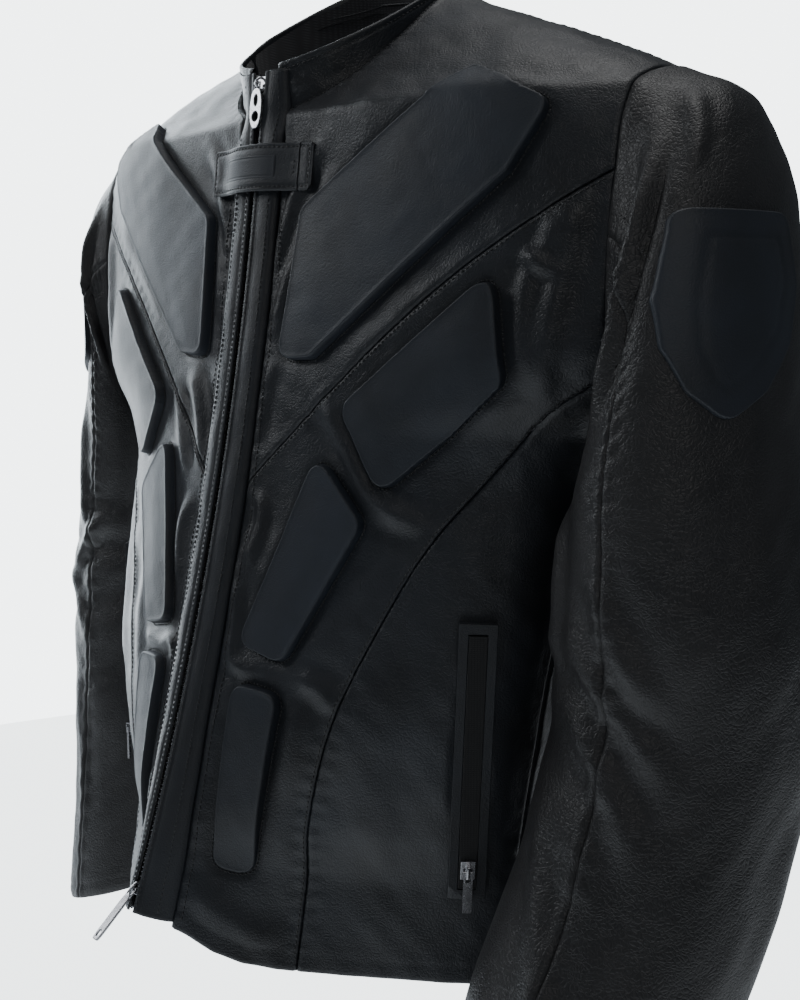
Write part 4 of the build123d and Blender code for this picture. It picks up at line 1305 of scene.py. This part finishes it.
def collar_point(share, angle, grow):
    """Point of the collar.

    share is 0 at the neckline and 1 at the top edge; angle is 0 at the left side and -90 degrees
    at the front.
    """
    tilt_low = math.atan2(NECK_BACK[1] - NECK_FRONT[1], NECK_BACK[0] - NECK_FRONT[0])
    tilt_top = math.atan2(COLLAR_BACK[1] - COLLAR_FRONT[1], COLLAR_BACK[0] - COLLAR_FRONT[0])
    tilt = tilt_low + (tilt_top - tilt_low) * share
    low = (np.array(NECK_FRONT) + NECK_BACK) / 2
    top = (np.array(COLLAR_FRONT) + COLLAR_BACK) / 2
    length_low = math.dist(NECK_FRONT, NECK_BACK) / 2
    length_top = math.dist(COLLAR_FRONT, COLLAR_BACK) / 2
    length = length_low + (length_top - length_low) * share + grow
    half = NECK_HALF_WIDTH + grow
    cy = low[0] + (top[0] - low[0]) * share
    cz = low[1] + (top[1] - low[1]) * share
    along = length * np.sin(angle)
    return np.stack([half * np.cos(angle), cy + along * np.cos(tilt), cz + along * np.sin(tilt)], axis=-1)


front_angle = math.acos(COLLAR_END_X / NECK_HALF_WIDTH)
collar_angles = np.linspace(-front_angle, math.pi + front_angle, 200)
profile = []
for share in np.linspace(-0.10, 0.94, 26):
    profile.append((share, 0.0))
for turn in np.linspace(0, 180, 9):
    profile.append((0.955 + 0.04 * math.sin(turn * DEG), -1.5 + 1.5 * math.cos(turn * DEG)))
for share in np.linspace(0.92, -0.08, 14):
    profile.append((share, -COLLAR_THICKNESS))
profile = np.array(profile)
ss, aa = np.meshgrid(profile[:, 0], collar_angles, indexing="ij")
gg = np.repeat(profile[:, 1][:, None], len(collar_angles), axis=1)
bare = collar_point(ss, aa, gg)
edge_gap = np.minimum(aa + front_angle, math.pi + front_angle - aa) * NECK_HALF_WIDTH
relief = 0.9 * waves(bare, 61, 42.0) + 0.35 * waves(bare, 62, 15.0)
crease = hump(ss, 0.45 + 0.12 * np.sin(aa * 3), 0.12)
relief += 1.6 * crease * hump(edge_gap, 0, 50.0) * np.sin(edge_gap / 9.0)
relief *= np.clip(edge_gap / 14.0, 0.1, 1)
relief -= 0.7 * hump(ss, 0.86, 0.014) * (gg > -1)
relief -= 1.2 * hump(edge_gap, 0, 1.5) + 0.6 * hump(edge_gap, 7.0, 1.0)
relief -= 1.4 * hump(ss, 0.02, 0.03) * (gg > -1)
around = collar_point(ss, aa + 0.01, gg) - collar_point(ss, aa - 0.01, gg)
upward = collar_point(ss + 0.01, aa, gg) - collar_point(ss - 0.01, aa, gg)
out = np.cross(around, upward)
out /= np.linalg.norm(out, axis=-1, keepdims=True)
verts = (bare + out * relief[..., None]).reshape(-1, 3)
faces = grid_faces(len(profile), len(collar_angles))
obj = new_object("collar_leather", verts, faces, "shell", BODY_LEATHER)
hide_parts("collar_outer")
lining_share = np.linspace(0.88, -0.15, 16)
ss, aa = np.meshgrid(lining_share, collar_angles, indexing="ij")
bare = collar_point(ss, aa, -COLLAR_LINING_DEPTH)
ripple = 0.4 * waves(bare, 63, 20.0)
verts = collar_point(ss, aa, -COLLAR_LINING_DEPTH + ripple * 0.5).reshape(-1, 3)
faces = grid_faces(len(lining_share), len(collar_angles))
obj = new_object("collar_inside", verts, faces, "shell", LINING)
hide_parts("collar_lining")


def collar_run(share, start, end, count, offset=0.25):
    """Points and normals of a run of stitches round the collar."""
    angle = np.linspace(start, end, count)
    share = np.full(count, share)
    points = collar_point(share, angle, offset)
    normals = points - collar_point(share, angle, -10.0)
    return points, normals / np.linalg.norm(normals, axis=1, keepdims=True)


start, end = -front_angle + 0.05, math.pi + front_angle - 0.05
runs = [collar_run(share, start, end, 300) for share in COLLAR_STITCHES]
stitches("collar_stitches", runs, "shell", THREAD, slot="jacket_leather")

# hanger loop inside the back neck
half_loop = [(32, 83.0), (32, 72.0), (30.5, 66.5), (26, 64.3)]
loop_path = [(-x, y) for x, y in half_loop] + [(0, 64.0)] + half_loop[::-1]
loop_path = resample(soften(np.array(loop_path, float), 2), 1.5)
STRAP_SECTION = (
    (30.2, 0.0), (31.0, -0.5), (34.0, -0.6), (37.0, -0.5), (37.8, 0.0), (37.0, 0.7), (34.0, 0.8), (31.0, 0.7),
)
verts = [(x, y + dy, z) for x, y in loop_path for z, dy in STRAP_SECTION]
faces = grid_faces(len(loop_path), len(STRAP_SECTION), True)
obj = new_object("hanger_loop_strap", verts, faces, "shell", STRAP_LEATHER)
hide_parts("hanger_loop")


# ---------------------------------------------------------------- front zip and its plackets
def chain(u, z, w):
    """Point at u across the chain, at height z along it, w out of the jacket."""
    u, z, w = np.broadcast_arrays(np.asarray(u, float), np.asarray(z, float), np.asarray(w, float))
    angle = np.arcsin((z - ZIP_CENTRE_Z) / ZIP_RADIUS)
    return np.stack([u, zip_y(z) - w * np.cos(angle), z - w * np.sin(angle)], axis=-1)


def chain_normal(z):
    """Way out of the jacket at height z on the chain."""
    angle = np.arcsin((np.asarray(z, float) - ZIP_CENTRE_Z) / ZIP_RADIUS)
    return np.stack([np.zeros_like(angle), -np.cos(angle), -np.sin(angle)], axis=-1)


heights = np.arange(ZIP_BOTTOM, ZIP_TOP + 0.1, 2.0)
edge_share = np.linspace(0, 1, 20)
edge_line = collar_point(edge_share, np.full(20, -math.acos(PLACKET_EDGE / NECK_HALF_WIDTH)), 0.0)


def placket_drop(u, z):
    """How far a strip falls back at u, so that its edge meets the panel or the collar."""
    z = np.asarray(z, float)
    flat_z = np.atleast_1d(z)
    panel = body_point(a_of_front(np.full(len(flat_z), PLACKET_EDGE), flat_z), v_of(flat_z))[:, 1]
    collar = np.interp(flat_z, edge_line[:, 2], edge_line[:, 1])
    mix = np.clip((flat_z + 80.0) / 18.0, 0, 1)
    gap = (panel * (1 - mix) + collar * mix - zip_y(flat_z)).reshape(z.shape)
    return gap * np.clip((u - 2.4) / 21.6, 0, 1.1) ** 1.6


# Section of one strip, from the lip over the front to the edge against the panel
STRIP = (
    (5.6, 3.9), (3.6, 3.9), (2.7, 4.1), (2.4, 4.7), (2.6, 5.3), (3.3, 5.7), (5.0, 5.6), (6.6, 5.2),
    (7.4, 4.9), (8.2, 5.3), (11.0, 5.7), (14.5, 5.6), (18.0, 5.2), (21.0, 4.5), (23.0, 3.2), (24.0, 1.0),
    (24.2, -1.5),
)
# Section of the woven tape that carries the teeth, with a rib along its inner edge
WOVEN = (
    (11.0, -0.3), (11.0, 0.3), (8.0, 0.35), (6.4, 0.5), (5.6, 0.9), (5.2, 0.5), (5.2, -0.5), (5.6, -0.9),
    (8.0, -0.35),
)
# Distance from the middle and half length of a tooth: a head, a waist and the clamp on the rib
TOOTH = ((0.95, 0.45), (1.3, 0.72), (2.2, 0.75), (2.8, 0.42), (3.6, 0.5), (4.2, 0.75), (5.3, 0.75))
TOOTH_PITCH = 3.2
TOOTH_HALF_DEPTH = 1.25
TEETH_START = 14.0          # above the zip's foot; the right row sits half a pitch higher
STRIP_THICKNESS = 0.8
for side_name, side in SIDES:
    verts = []
    for z in heights:
        flare = 3.6 * hump(z, ZIP_TOP, 34.0)
        wobble = 0.5 * math.sin(z / 19.0 + side) + 0.35 * math.sin(z / 7.3 + 2 * side)
        for u, w in STRIP:
            ease = 1 - (u - 2.4) / 21.8
            lift = wobble * hump(u, 14, 7.0)
            verts.append(chain(side * (u + flare * ease), z, w + 0.6 * lift - float(placket_drop(u, z))))
    faces = [f[::side] for f in grid_faces(len(heights), len(STRIP))]
    obj = new_object(f"placket_strip_{side_name}", verts, faces, "shell", STRAP_LEATHER)
    thicken(obj, STRIP_THICKNESS)
    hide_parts(f"placket_{side_name}")
    z = heights[2:-2]
    runs = []
    for u, w in ((5.4, 5.55), (18.6, 5.1)):
        runs.append((chain(side * u, z, w - placket_drop(u, z)), chain_normal(z)))
    stitches(f"placket_stitches_{side_name}", runs, "shell", THREAD, slot="strap_leather")
    verts = [chain(side * u, z, w) for z in heights for u, w in WOVEN]
    faces = grid_faces(len(heights), len(WOVEN), True)
    obj = new_object(f"zip_tape_cloth_{side_name}", verts, faces, "shell", TAPE)
    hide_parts(f"zip_tape_{side_name}")
    verts = []
    faces = []
    first = ZIP_BOTTOM + TEETH_START + (0 if side > 0 else TOOTH_PITCH / 2)
    total = int((ZIP_TOP - 4.0 - first) / TOOTH_PITCH)
    for number in range(total):
        z0 = first + number * TOOTH_PITCH
        base = len(verts)
        for u, half_length in TOOTH:
            for dz, dw in ((-1, -1), (1, -1), (1, 1), (-1, 1)):
                verts.append(chain(side * u, z0 + dz * half_length, dw * TOOTH_HALF_DEPTH))
        faces += [tuple(base + k for k in face) for face in grid_faces(len(TOOTH), 4, True)]
        for end in (base, base + 4 * (len(TOOTH) - 1)):
            faces.append((end, end + 1, end + 2, end + 3))
    obj = new_object(f"zip_teeth_row_{side_name}", verts, faces, "shell", METAL, smooth=False)
    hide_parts(f"zip_teeth_{side_name}")


def bevelled_plate(name, outline, low, high, body, place, bevel=0.35, holes=()):
    """Plate with rounded rims: an outline in (u, v), between two heights, put in place by a function."""
    curve = bpy.data.curves.new(name, "CURVE")
    curve.dimensions = "2D"
    curve.fill_mode = "BOTH"
    for line in (outline, *holes):
        spline = curve.splines.new("POLY")
        spline.points.add(len(line) - 1)
        for point, (u, v) in zip(spline.points, line):
            point.co = (u, v, 0, 1)
        spline.use_cyclic_u = True
    curve.extrude = (high - low) / 2 - bevel
    curve.bevel_depth = bevel
    curve.bevel_resolution = 3
    curve.offset = -bevel
    temp = bpy.data.objects.new(name, curve)
    scene.collection.objects.link(temp)
    depsgraph = bpy.context.evaluated_depsgraph_get()
    mesh = bpy.data.meshes.new_from_object(temp.evaluated_get(depsgraph))
    verts = np.array([v.co[:] for v in mesh.vertices])
    faces = [tuple(p.vertices) for p in mesh.polygons]
    bpy.data.objects.remove(temp)
    bpy.data.curves.remove(curve)
    verts[:, 2] += (low + high) / 2
    return new_object(name, [place(*p) for p in verts], faces, body, METAL)


def oval(half_u, half_v, cu=0.0, cv=0.0, count=40, power=2.0):
    """Closed outline; a higher power makes it squarer."""
    points = []
    for i in range(count):
        t = 2 * math.pi * i / count
        c, s = math.cos(t), math.sin(t)
        u = cu + half_u * math.copysign(abs(c) ** (2 / power), c)
        v = cv + half_v * math.copysign(abs(s) ** (2 / power), s)
        points.append((u, v))
    return points


def chain_frame(z0, tilt=0.0, pivot=7.2):
    """Function that puts a point (u, v, w) on the chain at z0, swung by tilt degrees about its bar."""
    up = np.array([0, *(chain(0, z0 + 0.5, 0) - chain(0, z0 - 0.5, 0))[1:]])
    up /= np.linalg.norm(up)
    out = chain_normal(np.array([z0]))[0]
    origin = chain(0, z0, 0)
    angle = math.radians(tilt)

    def put(u, v, w):
        rise = w - pivot
        swung_v = v * math.cos(angle) + rise * math.sin(angle)
        swung_w = -v * math.sin(angle) + rise * math.cos(angle)
        return origin + np.array([u, 0, 0]) + up * swung_v + out * (swung_w + pivot)

    return put


def tube(name, path, radius, body, sides=10):
    """Round bar along a path of points."""
    path = np.asarray(path, float)
    verts = []
    way = np.gradient(path, axis=0)
    reference = np.array([0.31, 0.52, 0.79])
    for p, d in zip(path, way):
        d = d / max(np.linalg.norm(d), 1e-9)
        side_way = np.cross(d, reference)
        side_way /= np.linalg.norm(side_way)
        other = np.cross(d, side_way)
        for j in range(sides):
            t = 2 * math.pi * j / sides
            verts.append(p + radius * (side_way * math.cos(t) + other * math.sin(t)))
    faces = grid_faces(len(path), sides, True)
    faces.append(tuple(range(sides))[::-1])
    faces.append(tuple((len(path) - 1) * sides + j for j in range(sides)))
    return new_object(name, verts, faces, body, METAL)


TOP_SLIDER_Z = -42.0
BOTTOM_SLIDER_Z = -620.0
SLIDER_HALF = ((4.2, 5.2), (6.0, 3.4), (6.2, 0.5), (5.6, -3.2), (4.4, -5.2))
for name, z0, turn in (("top_slider", TOP_SLIDER_Z, 1), ("bottom_slider", BOTTOM_SLIDER_Z, -1)):
    put = chain_frame(z0)
    shape = [(-4.2, 5.2 * turn)] + [(u, v * turn) for u, v in SLIDER_HALF]
    shape += [(-u, v * turn) for u, v in SLIDER_HALF[:0:-1]]
    pieces = [
        bevelled_plate(f"{name}_front_plate", shape, 1.95, 3.4, name, put),
        bevelled_plate(f"{name}_back_plate", shape, -3.4, -1.95, name, put),
        bevelled_plate(f"{name}_post", oval(0.6, 2.4), -2.2, 2.2, name, put, 0.1),
    ]
    arch = [put(0, 4.2 * math.cos(t), 3.2 + 5.3 * math.sin(t)) for t in np.linspace(0, math.pi, 17)]
    tube(f"{name}_bridge", arch, 0.95, name)
    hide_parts(name)


def hang_pull(name, put, outline, low, high, bevel, holes, arms):
    """Pull plate with the bar and the two arms that hold it in the slider's bridge."""
    obj = bevelled_plate(f"{name}_plate", outline, low, high, name, put, bevel, holes)
    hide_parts(name)
    tube(f"{name}_bar", [put(u, 0, 7.2) for u in np.linspace(-3.2, 3.2, 5)], 0.8, name)
    for side_name, side in SIDES:
        tube(f"{name}_arm_{side_name}", [put(side * u, v, 7.2) for u, v in arms], 0.75, name)


BOTTOM_PULL_TILT = 32.0     # degrees that the bottom pull hangs away from the jacket
hang_pull("top_pull", chain_frame(TOP_SLIDER_Z),
          oval(6.4, 14.5, 0, -18.2, 48, 2.3), 6.45, 8.0, 0.45,
          [oval(3.6, 3.6, 0, -24.0)[::-1], oval(2.2, 4.2, 0, -12.5)[::-1]],
          ((2.7, 0.6), (2.8, -1), (2.8, -3), (2.6, -5.5)))
hang_pull("bottom_pull", chain_frame(BOTTOM_SLIDER_Z, BOTTOM_PULL_TILT),
          oval(3.4, 18.6, 0, -24.6, 48, 6.0), 6.2, 8.2, 0.5,
          [oval(1.3, 2.6, 0, -38.0, 24)[::-1]],
          ((2.7, 0.6), (2.8, -2), (2.7, -5), (2.4, -8)))


# ---------------------------------------------------------------- throat tab
TAB_PATH = [(-46, 3.9), (-30, 3.9), (-12, 10.4), (12, 10.4), (30, 3.9), (46, -1.4), (58, -1.9)]
TAB_LINE = resample(soften(TAB_PATH, 3), 1.0)
TAB_Z = -104.0
TAB_HALF = 17.0
tab_put = chain_frame(TAB_Z, 0.0, 0.0)


def tab_mesh(name, low, high, body, round_low, round_high):
    """Padded leather strip along the tab's line between two places, with rounded ends where asked."""
    path = TAB_LINE[(TAB_LINE[:, 0] >= low) & (TAB_LINE[:, 0] <= high)]
    way = np.gradient(path, axis=0)
    way /= np.linalg.norm(way, axis=1, keepdims=True)
    up = np.stack([-way[:, 1], way[:, 0]], axis=1)
    rim_cols = np.linspace(-1, -0.86, 7)[:-1]
    cols = np.concatenate([rim_cols, np.linspace(-0.86, 0.86, 26), -rim_cols[::-1]])
    along = lengths_along(path)
    verts = []
    for layer in (1, -1):
        for i, (x, rise_here) in enumerate(path):
            left = along[i] if round_low else 99.0
            right = along[-1] - along[i] if round_high else 99.0
            gap = min(left, right)
            cut = 4.0 - math.sqrt(max(0.0, 16.0 - (4.0 - gap) ** 2)) if gap < 4.0 else 0.0
            for c in cols:
                v = c * (TAB_HALF - cut)
                border = min(TAB_HALF - abs(v) - cut * 0.2, gap)
                edge = 1.4 * math.sqrt(max(0.0, 1 - (1 - min(border / 1.3, 1)) ** 2))
                pillow = 0.45 * hump(border, 7.0, 3.5) - 0.55 * hump(border, 3.0, 0.8)
                height = (1.4 + edge + pillow) if layer > 0 else (1.4 - edge)
                px, pw = x + up[i][0] * height, rise_here + up[i][1] * height
                verts.append(tab_put(px, v, pw))
    rows, count = len(path), len(cols)
    top = grid_faces(rows, count)
    base = rows * count
    faces = top + [tuple(base + k for k in f[::-1]) for f in top]
    rim = [i * count for i in range(rows)] + [(rows - 1) * count + j for j in range(1, count)]
    rim += [i * count + count - 1 for i in range(rows - 2, -1, -1)] + list(range(count - 2, 0, -1))
    for k in range(len(rim)):
        a, b = rim[k], rim[(k + 1) % len(rim)]
        faces.append((b, a, base + a, base + b))
    return new_object(name, verts, faces, body, STRAP_LEATHER)


obj = tab_mesh("throat_tab_strap", -46, 45.7, "throat_tab", True, False)
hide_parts("throat_tab")
obj = tab_mesh("throat_tab_root", 46.0, 58, "shell", False, True)
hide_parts("throat_tab_base")


def tab_top(x, v, lift):
    """Point at a lift above the tab's top face."""
    before, rise_here, after = np.interp((x - 1, x, x + 1), TAB_LINE[:, 0], TAB_LINE[:, 1])
    slope = (after - before) / 2
    length = math.hypot(1, slope)
    height = 2.85 + lift
    return tab_put(x - slope / length * height, v, rise_here + height / length)


def tab_run(points):
    """Points and normals of a run of stitches on the tab."""
    points = resample(np.array(points, float), 1.0)
    placed = np.array([tab_top(x, v, -0.15) for x, v in points])
    normals = np.array([tab_top(x, v, 1.0) - tab_top(x, v, 0.0) for x, v in points])
    return placed, normals


stitches("throat_tab_stitches", [
    tab_run([(44.5, 14.0), (-43.0, 14.0), (-43.0, -14.0), (44.5, -14.0)]),
    tab_run([(41.0, 13.5), (41.0, -13.5)]),
], "throat_tab", THREAD, slot="strap_leather")
stitches("throat_root_stitches", [
    tab_run([(46.8, 14.0), (55.2, 14.0), (55.2, -14.0), (46.8, -14.0)]),
    tab_run([(49.0, 13.5), (49.0, -13.5)]),
], "shell", THREAD, slot="strap_leather")

# blank label patch with a pressed border
LABEL_HALF_WIDTH = 26.0
LABEL_HALF_HEIGHT = 8.2
label_cols = np.concatenate([[-1.0, -0.985, -0.96], np.linspace(-0.92, 0.92, 30), [0.96, 0.985, 1.0]])
verts = []
for row in label_cols:
    for col in label_cols:
        x, v = col * LABEL_HALF_WIDTH, row * LABEL_HALF_HEIGHT
        border = min(LABEL_HALF_WIDTH - abs(x), LABEL_HALF_HEIGHT - abs(v))
        height = 0.55 * math.sqrt(max(0.0, 1 - (1 - min(border / 0.7, 1)) ** 2)) + 0.25
        height -= 0.3 * hump(border, 1.8, 0.4)
        verts.append(tab_top(x, v, height - 0.3))
faces = grid_faces(len(label_cols), len(label_cols))
obj = new_object("throat_label_patch", verts, faces, "throat_tab", LABEL_LEATHER)
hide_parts("throat_label")

# snap fastener under the tab's free end
SNAP_X = -36.0


def snap_put(u, v, w):
    return tab_put(u + SNAP_X, v, w)


obj = bevelled_plate("snap_socket_ring", oval(5.0, 5.0), 1.4, 3.7, "throat_tab", snap_put, 0.4,
                     [oval(2.4, 2.4)[::-1]])
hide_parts("snap_socket")
obj = bevelled_plate("snap_stud_base", oval(5.0, 5.0), -0.6, 0.7, "shell", snap_put, 0.4)
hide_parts("snap_stud")
bevelled_plate("snap_stud_post", oval(1.9, 1.9), 0.5, 2.9, "shell", snap_put, 0.5)


# ---------------------------------------------------------------- hand pockets and the zip's foot
def finish_cad(name, material, edge):
    """Gives a CAD node its material and rounds its edges."""
    obj = bpy.data.objects[name]
    for slot in obj.material_slots:
        slot.material = material
    weld = obj.modifiers.new("weld", "WELD")
    weld.merge_threshold = 0.00001
    bevel = obj.modifiers.new("edge", "BEVEL")
    bevel.width = edge
    bevel.segments = 3
    bevel.limit_method = "ANGLE"
    bevel.angle_limit = math.radians(40.0)


finish_cad("pocket_welts", STRAP_LEATHER, 0.0012)
finish_cad("pocket_zips", TAPE, 0.0003)
finish_cad("pocket_bags", LINING, 0.0003)
finish_cad("zip_foot", METAL, 0.0004)
for side_name, side in SIDES:
    finish_cad(f"pocket_slider_{side_name}", METAL, 0.0004)
    finish_cad(f"pocket_pull_{side_name}", METAL, 0.0004)


# ---------------------------------------------------------------- light and ground
PALE = (0.93, 0.985, 1.0, 1)


def split_rays(tree, usual, seen, output):
    """Shows the camera one shader and every other ray another."""
    camera = add_node(tree, "LightPath", {}).outputs["Is Camera Ray"]
    chosen = add_node(tree, "MixShader", {"Fac": camera, 1: usual, 2: seen}).outputs["Shader"]
    tree.links.new(chosen, tree.nodes[output].inputs["Surface"])


# The camera sees the floor as bright as the backdrop; the jacket gets only its faint glow
floor_paint = bpy.data.materials.new("pale_floor")
floor_paint.use_nodes = True
floor_tree = floor_paint.node_tree
shader = floor_tree.nodes["Principled BSDF"]
fill_inputs(floor_tree, shader, {
    "Base Color": (0.90, 0.92, 0.94, 1),
    "Roughness": 0.9,
    "Emission Color": (0.93, 0.97, 1.0, 1),
    "Emission Strength": 0.3,
})
glow = add_node(floor_tree, "Emission", {"Color": PALE, "Strength": 3.6}).outputs["Emission"]
split_rays(floor_tree, shader.outputs["BSDF"], glow, "Material Output")
disc = [(1900 * math.cos(t), 1900 * math.sin(t), -1150) for t in np.linspace(0, 2 * math.pi, 97)[:-1]]
floor = new_object("floor", disc, [tuple(range(96))], None, floor_paint, smooth=False)

world = bpy.data.worlds.new("studio")
scene.world = world
world.use_nodes = True
world_tree = world.node_tree
background = world_tree.nodes["Background"]
fill_inputs(world_tree, background, {"Color": (0.80, 0.90, 1.0, 1), "Strength": 0.10})
backdrop = add_node(world_tree, "Background", {"Color": PALE, "Strength": 5.0}).outputs["Background"]
split_rays(world_tree, background.outputs["Background"], backdrop, "World Output")


def area_light(name, place, target, size, power, colour=(1, 1, 1), size_y=None):
    """Soft light at place, aimed at target."""
    data = bpy.data.lights.new(name, "AREA")
    data.energy = power
    data.size = size
    if size_y:
        data.shape = "RECTANGLE"
        data.size_y = size_y
    data.color = colour
    light = bpy.data.objects.new(name, data)
    light.location = place
    light.rotation_euler = (Vector(target) - Vector(place)).to_track_quat("-Z", "Y").to_euler()
    scene.collection.objects.link(light)
    return light


area_light("window", (-2.3, 0.5, 0.1), (0, -0.1, -0.35), 2.0, 135.0, (0.86, 0.94, 1.0), 2.6)
area_light("key", (-1.7, -1.5, 0.9), (0, 0, -0.3), 0.7, 14.0, (0.94, 0.97, 1.0), 0.9)
area_light("top", (0.1, 0.2, 1.7), (0.1, 0, -0.2), 1.4, 14.0)
area_light("camera_side", (1.7, -1.3, 0.9), (0.3, 0, -0.4), 0.9, 5.0, (1.0, 0.98, 0.96))
